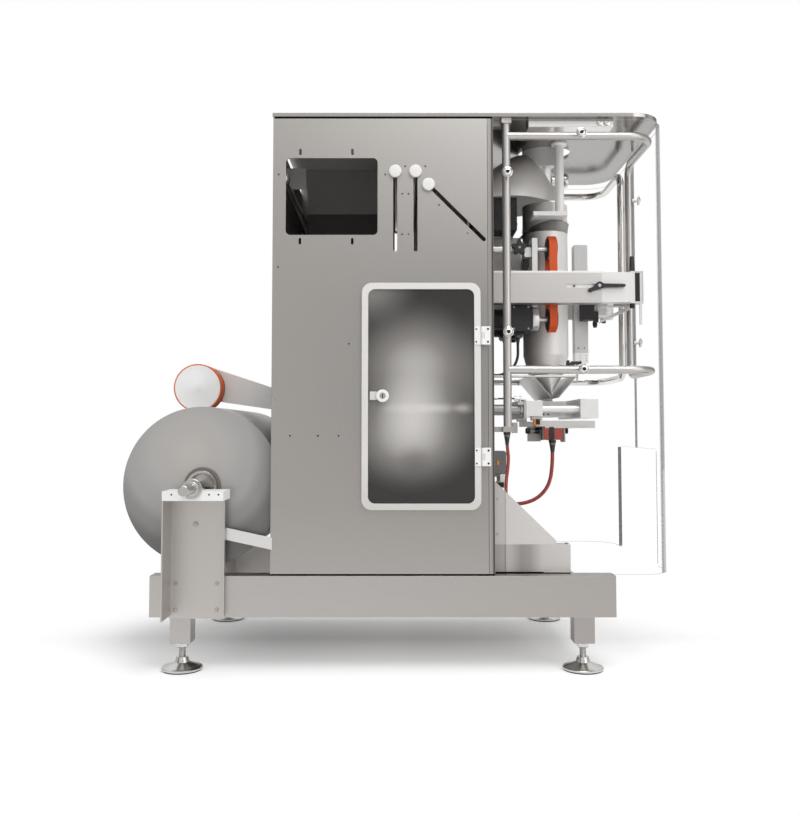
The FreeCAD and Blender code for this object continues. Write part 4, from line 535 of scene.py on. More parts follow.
wound_film = surface("wound_film", roll_painted_light, 0.4, 0.4, (240, 240, 240), 0.03, 0.01)
core_board = surface("core_board", (120, 112, 104), 0.8, contrast=0.12, depth=0.1)
ROLL = (-578.5, 0, 540)
ROLL_END = 350
LAYERS, LAYER_STEP = 36, 5
layers = [(54, 1 - ROLL_END)]
for n in range(LAYERS):
    radius = 56 + n * LAYER_STEP
    layers += [(radius, 0.03 * (n % 2) - ROLL_END), (radius + 4, 0.04 * math.sin(n * 2.1) - ROLL_END)]
layers += [(235.6, -ROLL_END), (236.5, 1 - ROLL_END)]
layers += [(radius, -height) for radius, height in reversed(layers)]
part(
    "wound_roll", "film", wound_film, 0,
    turned(layers + layers[:1], ROLL, FAR, 160),
    body="reel", stands_for=["film_roll"],
)
CORE = ((46, -352), (54, -352), (54, 352), (46, 352), (46, -352))
part("roll_core", "film", core_board, 0.4, turned(CORE, ROLL, FAR, 64), body="reel")

# Reel shaft: a ground steel bar that lies in the bearing blocks, with a cupped chuck in each end of the core
# and a collar outside each block.
shaft_steel = surface("shaft_steel", (188, 185, 182), 0.26, 1.0, (60, 700, 60), 0.05, 0.004)
SHAFT = ((13, -582), (15, -580), (15, 580), (13, 582))
COLLAR = ((27, 474), (28.5, 475.5), (28.5, 482.5), (27, 484))
CHUCK = (
    (45.6, 290), (45.6, 352), (46, 352), (46, 364), (44.5, 366), (37, 366), (35.5, 364), (35.5, 336)
)
CAP = ((20, 484), (20, 487), (17, 489))
part(
    "winding_shaft", "polished_tube", shaft_steel, 0,
    solid(SHAFT, ROLL, FAR, 64),
    *[solid(rim, ROLL, (0, side, 0), 64) for side in SIDES for rim in (COLLAR, CHUCK, CAP)],
    body="reel", stands_for=["reel_shaft"],
)

# Drive arm and wheel: a cast arm that turns in the cabinet, and a white disc with a thin orange tyre that
# drives the roll from above.
# Painted shade: the arm is painted a little darker towards its top.
arm_painted_shade = along("Z", (770, (255, 254, 252)), (850, (254, 252, 249)), (925, (246, 243, 240)))
arm_alloy = surface("arm_alloy", arm_painted_shade, 0.45, 0.0, (400, 400, 400), 0.03, 0.02, 1.5)
disc_white = surface("disc_white", WHITE, 0.4, 0.0, (200, 200, 200), 0.015, 0.01)
tyre_orange = surface("tyre_orange", (226, 104, 40), 0.55, 0.0, (500, 500, 500), 0.1, 0.03)
dress(arm_alloy, "drive_arm")
dress(rail_steel, "arm_bracket")
WHEEL = (-658.5, -54, 845.6)
DISC = (
    (8.2, -29), (13, -29.6), (15, -29.6), (16, -29), (73.5, -30), (74.9, -28.6), (74.9, 28), (8.2, 28),
    (8.2, -29),
)
TREADS, TREAD_STEP = 9, 6
tyre = [(75, -29)]
for n in range(TREADS):
    start = n * TREAD_STEP
    tyre += [(78.9, start - 28.6), (79, start - 27), (79, start - 24.6), (78.4, start - 24)]
tyre += [(78.4, 27), (75, 27), (75, -29)]
# Painted shade: a thin black disc behind the wheel stands for the shade between the wheel and the arm.
BACK_SHADE_RING = ((20, 28), (79, 28), (79, 29.8), (20, 29.8), (20, 28))
for name, slot, material, outline, stands_for in (
    ("wheel_disc", "machined", disc_white, DISC, ["drive_wheel_hub"]),
    ("wheel_tyre", "tyre_rubber", tyre_orange, tyre, ["drive_wheel_tyre"]),
    ("wheel_back_shade", "black_plastic", painted_shade_black, BACK_SHADE_RING, ()),
):
    ring = turned(outline, WHEEL, FAR, 96)
    part(name, slot, material, 0, ring, body="drive_wheel", stands_for=stands_for)

# Top plate: one thick sheet of polished stainless steel over cabinet and forming area, with a screwed bar
# below.
BAR_LOW, BAR_MIDDLE, PLATE_LOW = 1627, 1640.5, 1653
# Painted light: a painted highlight just above the bar's lower edge, and painted shade and reflection towards
# the plate's underside.
plate_painted_sheen = along(
    "Z", (BAR_LOW, (150, 147, 144)), (BAR_LOW + 1.6, (252, 250, 248)), (1644, (214, 211, 208)),
    (1652, (166, 163, 160)), (PLATE_LOW + 0.5, (156, 153, 150)), (1655, (182, 179, 176)),
)
plate_steel = surface("plate_steel", plate_painted_sheen, 0.17, 1.0, (12, 500, 500), 0.03, 0.003, 1.5)
dress(plate_steel, "cabinet_top")
SOCKET_HEAD = ((10, 0), (10, 2), (8, 5), (4.5, 6), (3.5, 3.5))
part(
    "bar_screws", "polished_tube", chrome, 0,
    *[solid(SOCKET_HEAD, (x, -350, BAR_MIDDLE), NEAR, 32) for x in (618.6, 640)],
)

# Guards: bent stainless tubes on hinge posts, with clear panes bent round in front of them. Polished buttons
# with a dark socket hold the panes.
rail_satin = surface("rail_satin", (192, 189, 186), 0.36, 1.0, (300, 300, 300), 0.01, 0.0)
dress(rail_satin, "guard_frame_near")
dress(chrome, "guard_frame_far")
dress(rail_steel, "guard_brackets")
# The washer's inner foot lies on the block and stays sharp, so its outline doesn't quite close.
WASHER = ((5, 0), (7, 0), (7, 1.2), (5, 1.2), (5, 0.001))
blocks = []
for side in SIDES:
    blocks.append(brick((347, 363), (326, 346), (697, 729), side))
    blocks.append(turned(WASHER, (355, side * 346, 716), (0, side, 0), 24))
part("post_foot_blocks", "machined", bolt_steel, 0.8, *blocks)


def product(tree, one, other, operation="MULTIPLY"):
    """Two numbers multiplied, or joined in another way."""
    return add(tree, "Math", {0: one, 1: other}, operation=operation).outputs[0]


pane_clear = bpy.data.materials.new("pane_clear")
pane_clear.use_nodes = True
tree = pane_clear.node_tree
shader = tree.nodes["Principled BSDF"]
shader.inputs["Base Color"].default_value = shade(152, 152, 152)
shader.inputs["Roughness"].default_value = 0.04
place = add(tree, "TexCoord").outputs["Object"]
smear = add(tree, "TexNoise", {"Vector": place, "Scale": 9.0, "Detail": 2.0})
waves = add(tree, "Bump", {"Height": smear.outputs[0], "Distance": 0.0002})
tree.links.new(waves.outputs[0], shader.inputs["Normal"])
# A clear sheet shows where it is seen along its face. In the bend at the machine's near corner a painted grey
# band stands for the dark surroundings that the bend refracts.
slant = add(tree, "LayerWeight", {"Blend": 0.5}).outputs["Facing"]
glancing = rescaled(tree, slant, 0.84, 0.97, 0.0, 0.8, smooth=True)
turning = rescaled(tree, slant, 0.3, 0.5)
parts = add(tree, "SeparateXYZ", {"Vector": place})
outside = rescaled(tree, parts.outputs["X"], 0.786, 0.794)
nearside = rescaled(tree, parts.outputs["Y"], -0.306, -0.314)
painted_bend_grey = product(tree, product(tree, product(tree, outside, nearside), turning), 0.85)
cover = product(tree, glancing, painted_bend_grey, "MAXIMUM")
tree.links.new(cover, shader.inputs["Alpha"])
dress(pane_clear, "guard_pane_near", "guard_pane_far")

button_chrome = surface("button_chrome", (236, 235, 233), 0.08, 1.0, (60, 60, 60), 0.01, 0.0)
pane_rim = surface("pane_rim", (156, 156, 156), 0.3, 0.0, contrast=0.02)
cutout_rim = surface("cutout_rim", (118, 118, 118), 0.3, 0.0, contrast=0.02)
PANE_FACE, PANE_FRONT = 380, 815
BEND_X, BEND_Y, BEND_RADIUS = 725, 290, 89.6
PANE_EDGE = [(324.2, PANE_FACE - 0.4)]
for n in range(13):
    angle = math.radians(n * 7.5)
    PANE_EDGE.append((BEND_X + BEND_RADIUS * math.sin(angle), BEND_Y + BEND_RADIUS * math.cos(angle)))


def skin(rows, ring=True, closed=False, caps=False):
    """Faces between rows of points, each row joined to the next one. Ring joins a row's own ends, closed
    joins the last row to the first, and caps closes the open ends."""
    wide, last = len(rows[0]), len(rows) - 1
    points = [spot for row in rows for spot in row]
    faces = []
    for first in range(last + closed):
        low, high = first * wide, (first + 1) % len(rows) * wide
        for n in range(wide if ring else wide - 1):
            m = (n + 1) % wide
            faces.append((low + n, low + m, high + m, high + n))
    if caps and ring:
        faces += [range(wide), range(last * wide, len(points))]
    elif caps:
        faces += [range(end, len(points), wide) for end in (0, wide - 1)]
    return points, faces


def edge_strip(line, side, low, high, depth=1.2):
    """A thin flat strip along the outline of a sheet."""
    inner = [(x - depth * (x > BEND_X), y - depth * (y > BEND_Y)) for x, y in line]
    rows = []
    for outline, level in ((line, low), (line, high), (inner, high), (inner, low)):
        rows.append([(x, side * y, level) for x, y in outline])
    return skin(rows, ring=False, closed=True)


DOME = ((0, 0), (15.5, 0), (16, 1.2), (15, 3), (12, 4), (10.5, 3.2), (9, 6), (4.5, 8), (0, 8.4))
DOME_SHADE = ((13.4, 1), (14.6, 1), (13.8, 3.5), (12.6, 3.9))
BUTTONS = ((333, 1480), (333, 998), (556, 1600), (556, 887))
PAIR = (("near", -1), ("far", 1))
for word, side in PAIR:
    part(
        f"pane_rims_{word}", "clear_pane", pane_rim, 0,
        edge_strip(PANE_EDGE + [(814.6, 219)], side, 283, 283.6),
        edge_strip(PANE_EDGE + [(814.6, 4)], side, 1639, 1639.6),
        brick((809.2, 814.8), (3, 3.6), (647, 1639.5), side),
        brick((813.6, 814.8), (3.6, 212), (646.4, 647), side),
        brick((324.2, 325), (378.8, 379.8), (1560, 1639.5), side),
        body=f"{word}_guard",
    )
    part(
        f"pane_buttons_{word}", "polished_tube", button_chrome, 0,
        *[turned(DOME, (x, side * PANE_FACE, z), (0, side, 0)) for x, z in BUTTONS],
        *[turned(DOME, (PANE_FRONT, side * 51, z), (1, 0, 0)) for z in (1480, 998)],
        body=f"{word}_guard",
    )
    part(
        f"button_sockets_and_shades_{word}", "dark_steel", screw_black, 0,
        *[rod(6.4, 0.8, (x, side * (PANE_FACE + 8), z), (0, side, 0), 6) for x, z in BUTTONS],
        # Painted shade: a dark ring in the groove under each dome's rim.
        *[turned(DOME_SHADE, (x, side * (PANE_FACE + 0.2), z), (0, side, 0)) for x, z in BUTTONS],
        body=f"{word}_guard",
    )
part(
    "cutout_rim_far", "clear_pane", cutout_rim, 1.2,
    brick((804, 815.6), (218, 221), (288, 645)),
    body="far_guard",
)
part(
    "cutout_rim_near", "clear_pane", pane_rim, 0.2,
    brick((813.4, 815), (-219.2, -218.2), (290, 640)),
    body="near_guard",
)

# Forming tube and collar: a satin stainless tube, tapered at its mouth, in a flared sheet collar. They are
# painted as such a tube looks between dark cabinet and open front: dark on the left, bright on the right.
tube_paint = along(
    "X", (431, (126, 123, 121)), (455, (168, 165, 162)), (507, (226, 223, 220)), (555, (246, 244, 242)),
    (578, (255, 255, 254)), (584, (255, 255, 254)),
)
collar_paint = along(
    "X", (411, (70, 67, 65)), (470, (64, 61, 59)), (530, (110, 107, 104)), (560, (168, 165, 162)),
    (604, (190, 188, 185)),
)
tube_satin = surface("tube_satin", tube_paint, 0.42, 0.3, (300, 300, 8), 0.02, 0.003)
collar_satin = surface("collar_satin", collar_paint, 0.4, 0.35, (200, 200, 20), 0.03, 0.004)
dress(tube_satin, "forming_tube")
TUBE_X = 507.5
ROUND = [2 * math.pi * n / 96 for n in range(96)]
COLLAR_LOW, COLLAR_HEIGHT, COLLAR_RADIUS = 1372.3, 34, 76.4
WING_DROP, SHEET = 52, 1.6


def collar_ring(share, inner):
    """One ring of the collar: it flares as share goes from 0 to 1, most on the film's side."""
    ring = []
    for angle in ROUND:
        film_side = 0.5 - 0.5 * math.cos(angle)
        radius = COLLAR_RADIUS + (5 + 14 * film_side ** 1.5) * share ** 1.8 - inner * SHEET * share
        height = COLLAR_LOW + (COLLAR_HEIGHT - WING_DROP * film_side ** 4) * share + inner * 1.5
        ring.append((TUBE_X + radius * math.cos(angle), radius * math.sin(angle), height))
    return ring


rings = [collar_ring(share, 0) for share in (0, 0.25, 0.5, 0.75, 0.92, 1.0)]
rings += [collar_ring(share, 1) for share in (1.0, 0.9, 0.7, 0.45, 0.2, 0)]
part(
    "tube_collar", "polished_tube", collar_satin, 0,
    skin(rings, closed=True),
    stands_for=["forming_collar"],
)

# Forming shoulder: a pressed sheet over the film's way to the tube, on a bracket from the front panel, with a
# folded apron under the opening of the top plate. The bracket is painted near black as painted shade under
# the shoulder.
# Painted shade: the shoulder is painted darker towards the top plate above it.
shoulder_painted_shade = along(
    "Z", (1472, (224, 221, 218)), (1540, (212, 209, 206)), (1600, (174, 171, 169)), (1648, (134, 132, 131))
)
shoulder_satin = surface("shoulder_satin", shoulder_painted_shade, 0.45, 0.3, (200, 200, 200), 0.02, 0.005)
apron_satin = surface("apron_satin", (214, 212, 210), 0.4, 0.3, (200, 200, 14), 0.02, 0.004)
# Painted shade on the shoulder bracket and the slide ends; the pulley flanges use it as their own dark
# colour.
dark_finish_and_shade = surface("dark_finish_and_shade", (34, 32, 32), 0.5, 0.3, (200, 200, 200), 0.08, 0.01, 1.0)
sheet_grey = surface("sheet_grey", (172, 169, 166), 0.4, 0.6, (14, 400, 400), 0.05, 0.006, 0.8)
dress(shoulder_satin, "forming_shoulder")
dress(dark_finish_and_shade, "shoulder_bracket")


def apron_edge(radius, top):
    """One edge of the apron, which is bent round the product's way and cut shorter towards the cabinet."""
    edge = []
    for n in range(19):
        angle = math.radians(205 + n * 5)
        x = TUBE_X + radius * math.cos(angle)
        low = 1612 if x < 446 else 1590
        edge.append((x, radius * math.sin(angle), PLATE_LOW if top else low))
    return edge


edges = [apron_edge(88, False), apron_edge(88, True), apron_edge(90, True), apron_edge(90, False)]
part("product_apron", "polished_tube", apron_satin, 0, skin(edges, ring=False, closed=True, caps=True))
part(
    "shoulder_web", "frame_steel", sheet_grey, 0.5,
    brick((330, 424), (-2, 2), (1215, 1364)),
    brick((330, 396), (-24, 24), (1361, 1364)),
)
FRONT = (1, 0, 0)
SHOULDER_SCREW = ((6, 0), (6, 4), (5, 5))
part(
    "shoulder_screws", "machined", bolt_steel, 0.2,
    *[solid(SHOULDER_SCREW, (396, y, z), FRONT, 6) for y in (-90, 90) for z in (1390, 1446)],
)

# Hangers: two white-coated rods from the top plate to a clamp plate each, and a polished clamp on the far
# rod.
holder_white = surface("holder_white", (250, 249, 248), 0.34, 0.05, (200, 200, 20), 0.02, 0.004, 1.0)
dress(holder_white, "tube_hangers")
DOWN = (0, 0, -1)
HANGER_X, HANGER_Y, HANGER_PLATE_LOW = 537, 118, 1409
FLANGE = ((15.3, 0), (26, 0), (26, 5), (24, 7), (15.3, 7), (15.3, 0))
flanges = []
for side in SIDES:
    flanges.append(turned(FLANGE, (HANGER_X, side * HANGER_Y, PLATE_LOW), DOWN))
    for x in (462, 548):
        flanges.append(solid(((5, 0), (5, 1), (4, 2)), (x, side * HANGER_Y, HANGER_PLATE_LOW), DOWN, 6))
part("hanger_flanges", "polished_tube", holder_white, 0.2, *flanges)
CLAMP = ((17, 0), (17, 34), (22, 36), (26, 42), (26, 54), (23, 58), (18, 58), (18, 52))
part("hanger_fitting", "polished_tube", chrome, 0.4, solid(CLAMP, (552.3, HANGER_Y, 1597), FRONT, 12))

# Film below the tube: the tube of film is drawn flat between two sheet deflectors, with a fold on each side.
# Rods from the front panel carry the deflectors.
# Painted light: the film is painted darker just before the tube's centre line and brighter just past it.
film_painted_sheen = along(
    "X", (430, (196, 194, 192)), (500, (170, 169, 168)), (512, (222, 222, 222)), (580, (206, 205, 203))
)
film_soft = surface("film_soft", film_painted_sheen, 0.28, 0.1, (60, 60, 12), 0.05, 0.06)
deflector_steel = surface("deflector_steel", (196, 193, 190), 0.36, 0.8, (14, 500, 500), 0.05, 0.005, 0.8)
PANEL_FRONT = 291
PLATE_HALF = 172
plates = []
for side in SIDES:
    top, low = TUBE_X + side * 73, TUBE_X + side * 12
    lug = (TUBE_X + side * 70.5, TUBE_X + side * 74)
    plates += [brick(lug, (160, PLATE_HALF), (866, 885), end) for end in SIDES]
    outline = ((top, 885), (low, 812), (low + side * 0.3, 809.8), (top + side * 2.4, 884))
    rows = [[(x, -PLATE_HALF, z), (x, PLATE_HALF, z)] for x, z in outline]
    plates.append(skin(rows, ring=False, closed=True, caps=True))
    spot = (PANEL_FRONT, side * 168, 878)
    plates += [rod(4, 291, spot, FRONT, 24), rod(10, 3, spot, FRONT, 24)]
part("deflector_plates", "machined", deflector_steel, 0.2, *plates, stands_for=["film_deflectors"])
FILM_TOP, FILM_LOW, FILM_STEPS = 923.6, 799.4, 12
FILM_RADIUS, FLAT_HALF, FLAT_THICK = 68, 120, 1.6


def film_ring(share):
    """One ring of the film tube: round at share 0, drawn flat at share 1, pleated in between."""
    drawn = share * share * (3 - 2 * share)
    ring = []
    for angle in ROUND:
        pleat = 1 - 0.16 * math.sin(share * math.pi) * math.cos(2 * angle) ** 8
        x = math.cos(angle) * (FILM_RADIUS * (1 - drawn) + FLAT_THICK * drawn) * pleat
        y = math.sin(angle) * (FILM_RADIUS * (1 - drawn) + FLAT_HALF * drawn)
        ring.append((TUBE_X + x, y, FILM_TOP + (FILM_LOW - FILM_TOP) * share))
    return ring


rings = [film_ring(step / FILM_STEPS) for step in range(FILM_STEPS + 1)]
part("film_tube", "film", film_soft, 0, skin(rings, caps=True), stands_for=["film_below_tube"])

# Pull belts: orange toothed belts that draw the film down the tube. Each runs round a driving and a return
# pulley, which are turned from aluminium and have dark flanges.
belt_orange = surface("belt_orange", (212, 80, 22), 0.6, 0.0, (500, 500, 500), 0.08, 0.05)
pulley_alloy = surface("pulley_alloy", (206, 204, 202), 0.3, 1.0, contrast=0.05, depth=0.01)
dress(pulley_alloy, "belt_pulleys")
BELT_Y, BELT_LOW, BELT_HIGH, TEETH = 119.3, 1068, 1299.5, 24
BELT_SECTION = ((43, 495.3), (42.2, 494.5), (38.3, 494.5), (38.3, 520.5), (42.2, 520.5), (43, 519.7))


def belt_loop(x, y, reach):
    """The belt's line round both pulleys at one distance from their axes."""
    line = []
    for turn, height in ((0, BELT_HIGH), (math.pi, BELT_LOW)):
        for n in range(25):
            angle = turn + math.pi * n / 24
            line.append((x, y + reach * math.cos(angle), height + reach * math.sin(angle)))
    return line


for word, side in PAIR:
    y = side * BELT_Y
    teeth = []
    for n in range(TEETH):
        z = BELT_LOW + (n + 0.5) * (BELT_HIGH - BELT_LOW) / TEETH
        for run in SIDES:
            teeth.append(brick((495, 520), (y + run * 35.8, y + run * 38.5), (z - 2.4, z + 2.4)))
    part(
        f"pull_belt_{word}", "belt_rubber", belt_orange, 0,
        skin([belt_loop(x, y, reach) for reach, x in BELT_SECTION], closed=True),
        *teeth,
        stands_for=["pull_belts"] if word == "near" else (),
    )
PULLEY_RIM = ((8.3, 0), (14, 0), (14, 1), (36, 1), (36, 2.4), (8.3, 2.4), (8.3, 0))
part(
    "pulley_flanges", "machined", dark_finish_and_shade, 0,
    *[
        turned(PULLEY_RIM, (x, side * BELT_Y, z), (step, 0, 0))
        for side in SIDES
        for z in (BELT_LOW, BELT_HIGH)
        for x, step in ((494.2, -1), (520.8, 1))
    ],
)

# Belt drives: an aluminium carrier on a round arm holds both pulleys, and a black geared motor drives the
# lower one.
carrier_alloy = surface("carrier_alloy", (222, 220, 218), 0.34, 0.7, (200, 200, 14), 0.03, 0.006, 1.0)
motor_black = surface("motor_black", (44, 43, 44), 0.5, 0.3, (300, 300, 300), 0.12, 0.03, 1.0)
CARRIER_BACK, MOTOR_SIDE = 440, 163
CUP = ((0, 0), (35, 0), (37, 2), (37, 20), (36, 22), (13, 22), (13, 17), (8.4, 17))
HOLDER = ((0, 0), (20, 0), (21, 1), (21, 20), (19, 22), (8.4, 22))
FIN = ((34, 0), (34, 3.2), (31, 3.2), (31, 6))
FINS, FIN_STEP = 12, 6
arms, motors, screws = [], [], []
for side in SIDES:
    y = side * BELT_Y
    arms += [
        brick((CARRIER_BACK, 458), (86.5, 150), (1104, 1331), side),
        turned(CUP, (CARRIER_BACK, y, BELT_LOW), FRONT),
        turned(HOLDER, (CARRIER_BACK, y, BELT_HIGH), FRONT),
        rod(13, 126, (PANEL_FRONT, y, BELT_HIGH), FRONT, 32),
        brick((417, CARRIER_BACK), (103, 136), (1271, 1303), side),
    ]
    for z in (1120, 1180, 1240):
        arms.append(solid(((5, 0), (5, 4), (4, 5)), (CARRIER_BACK, side * 96, z), (-1, 0, 0), 6))
    motors += [
        brick((370, 433), (76, MOTOR_SIDE), (1025, 1111), side),
        brick((433, CARRIER_BACK), (84, 155), (1033, 1103), side),
        brick((365.5, 370), (80, 159), (1029, 1107), side),
        rod(30, 3, (PANEL_FRONT, y, BELT_LOW), FRONT),
        brick((376, 420), (112, 136), (1017, 1026), side),
    ]
    motors += [solid(FIN, (293 + n * FIN_STEP, y, BELT_LOW), FRONT) for n in range(FINS)]
    for spot in [(x, side * MOTOR_SIDE, z) for x in (378, 425) for z in (1033, 1103)]:
        screws.append(solid(((3.6, 0), (3.6, 1.6), (3, 2)), spot, (0, side, 0), 6))
part("belt_carriers", "machined", carrier_alloy, 0.6, *arms, stands_for=["belt_drives"])
part("belt_motors", "black_plastic", motor_black, 0.8, *motors)
part("motor_screws", "machined", bolt_steel, 0, *screws)

# Star knobs: black plastic knobs with five lobes, moulded on threaded rods. They set how hard the belts
# press on the tube.
knob_black = surface("knob_black", (32, 32, 33), 0.5, 0.0, (500, 500, 500), 0.14, 0.04)
STAR_X, STAR_REACH, LOBE, STAR_TURN = 399, 21.5, 4.5, 0.3
BOSS = ((6, 132.6), (6, 134), (8.5, 135), (8.5, 141))
NUT = ((0, 154.4), (4, 154.4), (3.6, 155.4), (0, 155.8))


def star(y, grow):
    """The five-lobed outline of a star knob."""
    ring = []
    for n in range(100):
        angle = 2 * math.pi * n / 100
        reach = STAR_REACH + LOBE * math.cos(5 * angle) + grow
        x = STAR_X + reach * math.cos(angle + STAR_TURN)
        ring.append((x, y, BELT_HIGH + reach * math.sin(angle + STAR_TURN)))
    return ring


for word, side in PAIR:
    rows = [star(side * y, grow) for y, grow in ((140.6, -1.5), (142, 0), (152.6, 0), (154.6, -2))]
    axle = (STAR_X, 0, BELT_HIGH)
    part(
        f"star_knob_{word}", "black_plastic", knob_black, 0,
        skin(rows, caps=True),
        solid(BOSS, axle, (0, side, 0), 32),
        body=f"{word}_belt_knob", stands_for=[f"belt_knob_{word}"],
    )
    part(
        f"star_knob_cap_{word}", "black_plastic", bolt_steel, 0,
        turned(NUT, axle, (0, side, 0), 24),
        body=f"{word}_belt_knob",
    )

# Carrier beams: slotted box sections from the front panel with a lighter inner beam that slides out of each,
# an open end bracket on the slide, a height knob above it and a stop knob and guide strip below.
# Painted light: the beams are painted with a dark line along their lower edge and a bright band along the
# top.
beam_painted_light = along(
    "Z", (1108, (150, 147, 144)), (1111, (196, 193, 190)), (1204, (201, 198, 195)), (1206, (232, 230, 228)),
    (1211, (236, 234, 232)),
)
beam_steel = surface("beam_steel", beam_painted_light, 0.38, 0.8, (14, 600, 600), 0.03, 0.004, 1.2)
slide_alloy = surface("slide_alloy", (218, 217, 216), 0.4, 0.5, (14, 600, 600), 0.02, 0.004, 1.0)
dress(beam_steel, "carrier_beams")
dress(slide_alloy, "carrier_slides", "seal_cross_bar")
SLIDE_FACE, SLIDE_LOW, SLIDE_HIGH, SLIDE_KNOB_X = 211.7, 1111.3, 1207.7, 752
RIM = (SLIDE_FACE, SLIDE_FACE + 1.2)
HEIGHT_KNOB = ((9.5, 0), (9.5, 3), (8.6, 5), (6.6, 50), (5.6, 53), (0, 54))
STOP_KNOB = ((4, 0), (4, 2), (8, 2.5), (8, 15), (7, 17))
rims, shades, knobs = [], [], []
for side in SIDES:
    shades.append(brick((757, 772), (SLIDE_FACE, SLIDE_FACE + 0.5), (1114, 1205), side))
    rims += [
        brick((772, 783), RIM, (1109, 1210), side),
        brick((742, 783), RIM, (SLIDE_HIGH, 1211), side),
        brick((742, 783), RIM, (1108, SLIDE_LOW), side),
    ]
    knobs += [
        turned(((0, 0), *HEIGHT_KNOB), (SLIDE_KNOB_X, side * 195, SLIDE_HIGH), sides=32),
        solid(STOP_KNOB, (SLIDE_KNOB_X, side * 195, SLIDE_LOW), DOWN, 16),
        rod(3.4, 0.8, (563, side * 215, 1163), (0, side, 0), 16),
    ]
rims.append(brick((770, 778), (-212.9, -209), (1040, 1109)))
part("slide_end_shades", "dark_steel", dark_finish_and_shade, 0, *shades)
part("slide_end_rims", "machined", slide_alloy, 0.3, *rims)
part("slide_knobs", "black_plastic", knob_black, 0.3, *knobs)

# Clamping lever: a black die-cast handle with a round hub, bent to a short tail. A steel screw holds it on
# the near beam.
LEVER = (641, 1163)
LEVER_EDGE = [(-2, 12.5), (5, 12), (14, 6.2), (76, 4.6)]
LEVER_EDGE += [(79 + 4.2 * math.cos(a), 4.4 * math.sin(a)) for a in (1.2, 0.7, 0.2, -0.3, -0.8, -1.3)]
LEVER_EDGE += [(76, -4.6), (18, -6.2), (8, -10), (-4, -13), (-20, -17.5), (-26, -21), (-31, -20)]
LEVER_EDGE += [(-34, -15.5), (-33, -10.5), (-27, -7), (-19, -3.5), (-12, 5)]
LEVER_SCREW = ((5.4, 0), (5.4, 1.2), (4.6, 2.2), (2.4, 2.2), (2.4, 0.9))
LEVER_FRONT = -227
rows = []
for y, grow in ((-215.5, -1.2), (-217, 0), (-225.4, 0), (LEVER_FRONT, -1.4)):
    row = []
    for x, z in LEVER_EDGE:
        scale = 1 + grow / math.hypot(x, z)
        row.append((LEVER[0] + x * scale, y, LEVER[1] + z * scale))
    rows.append(row)
part(
    "lever_handle", "black_plastic", knob_black, 0,
    skin(rows, caps=True),
    body="clamping_lever", stands_for=["clamping_lever"],
)
part(
    "lever_screw", "machined", button_chrome, 0,
    solid(LEVER_SCREW, (LEVER[0], LEVER_FRONT, LEVER[1]), NEAR, 24),
    body="clamping_lever",
)

# Vertical seal: a heated bar with a lighter foot, a black heater housing, a hand screw, and a plug on an arm
# beside the foot.
seal_paint = along(
    "Z", (932, (240, 238, 236)), (966, (238, 236, 234)), (968, (203, 202, 201)), (1335, (206, 205, 204))
)
seal_steel = surface("seal_steel", seal_paint, 0.45, 0.5, (200, 200, 14), 0.03, 0.01, 1.0)
dress(seal_steel, "vertical_seal_bar")
SEAL_FACE = -22
screws = []
for x in (614.5, 634.5):
    screws.append(screw(2.6, 2.4, 0.8, 1, (x, SEAL_FACE, 982.6), NEAR))
    for z in (940, 948, 957):
        screws.append(screw(1.4, 1.2, 0.5, 0.6, (x + 6, SEAL_FACE, z), NEAR, 12))
part("seal_bar_screws", "dark_steel", screw_black, 0, *screws, body="seal_bar")
HAND_SCREW = ((8, 0), (8, 10), (6.5, 12), (6.5, 17))
part(
    "seal_heater_housing", "black_plastic", motor_black, 0.8,
    brick((619, 661), (-64, -22.2), (1074, 1132)),
    brick((661, 676), (-56, -34), (1067, 1104)),
    solid(HAND_SCREW, (666, -45, 1067), DOWN, 16),
    body="seal_bar",
)
part(
    "seal_guide_strip", "machined", deflector_steel, 0.4,
    brick((598.2, 602.9), (-40, -10), (1072, 1134)),
    body="seal_bar",
)
part(
    "seal_plug", "black_plastic", motor_black, 0.8,
    brick((562, 586), (-98, -72), (911, 928)),
    brick((562, 570), (-94, -76), (928, 936)),
    brick((576, 581), (-94, -76), (928, 933)),
    brick((584, 612), (-82, -74), (925, 933.4)),
    brick((604, 612), (-76, -14), (925, 933.4)),
    body="seal_bar",
)
part(
    "seal_plug_mark", "heater_red", red_sheath, 0,
    brick((574, 580), (-99.6, -98), (914, 922)),
    body="seal_bar",
)
BRACE_Y = -120
BRACE = ((662, 1054), (668, 1066), (757, 1110), (764, 1108), (764, 1100))
part(
    "slide_braces", "machined", deflector_steel, 0.4,
    skin([[(x, y, z) for x, z in BRACE] for y in (BRACE_Y - 3, BRACE_Y + 3)], caps=True),
    brick((664, 760), (BRACE_Y - 12, BRACE_Y + 12), (1108.6, 1111.2)),
    brick((712, 752), (BRACE_Y - 6, BRACE_Y + 6), (1110, 1131)),
)

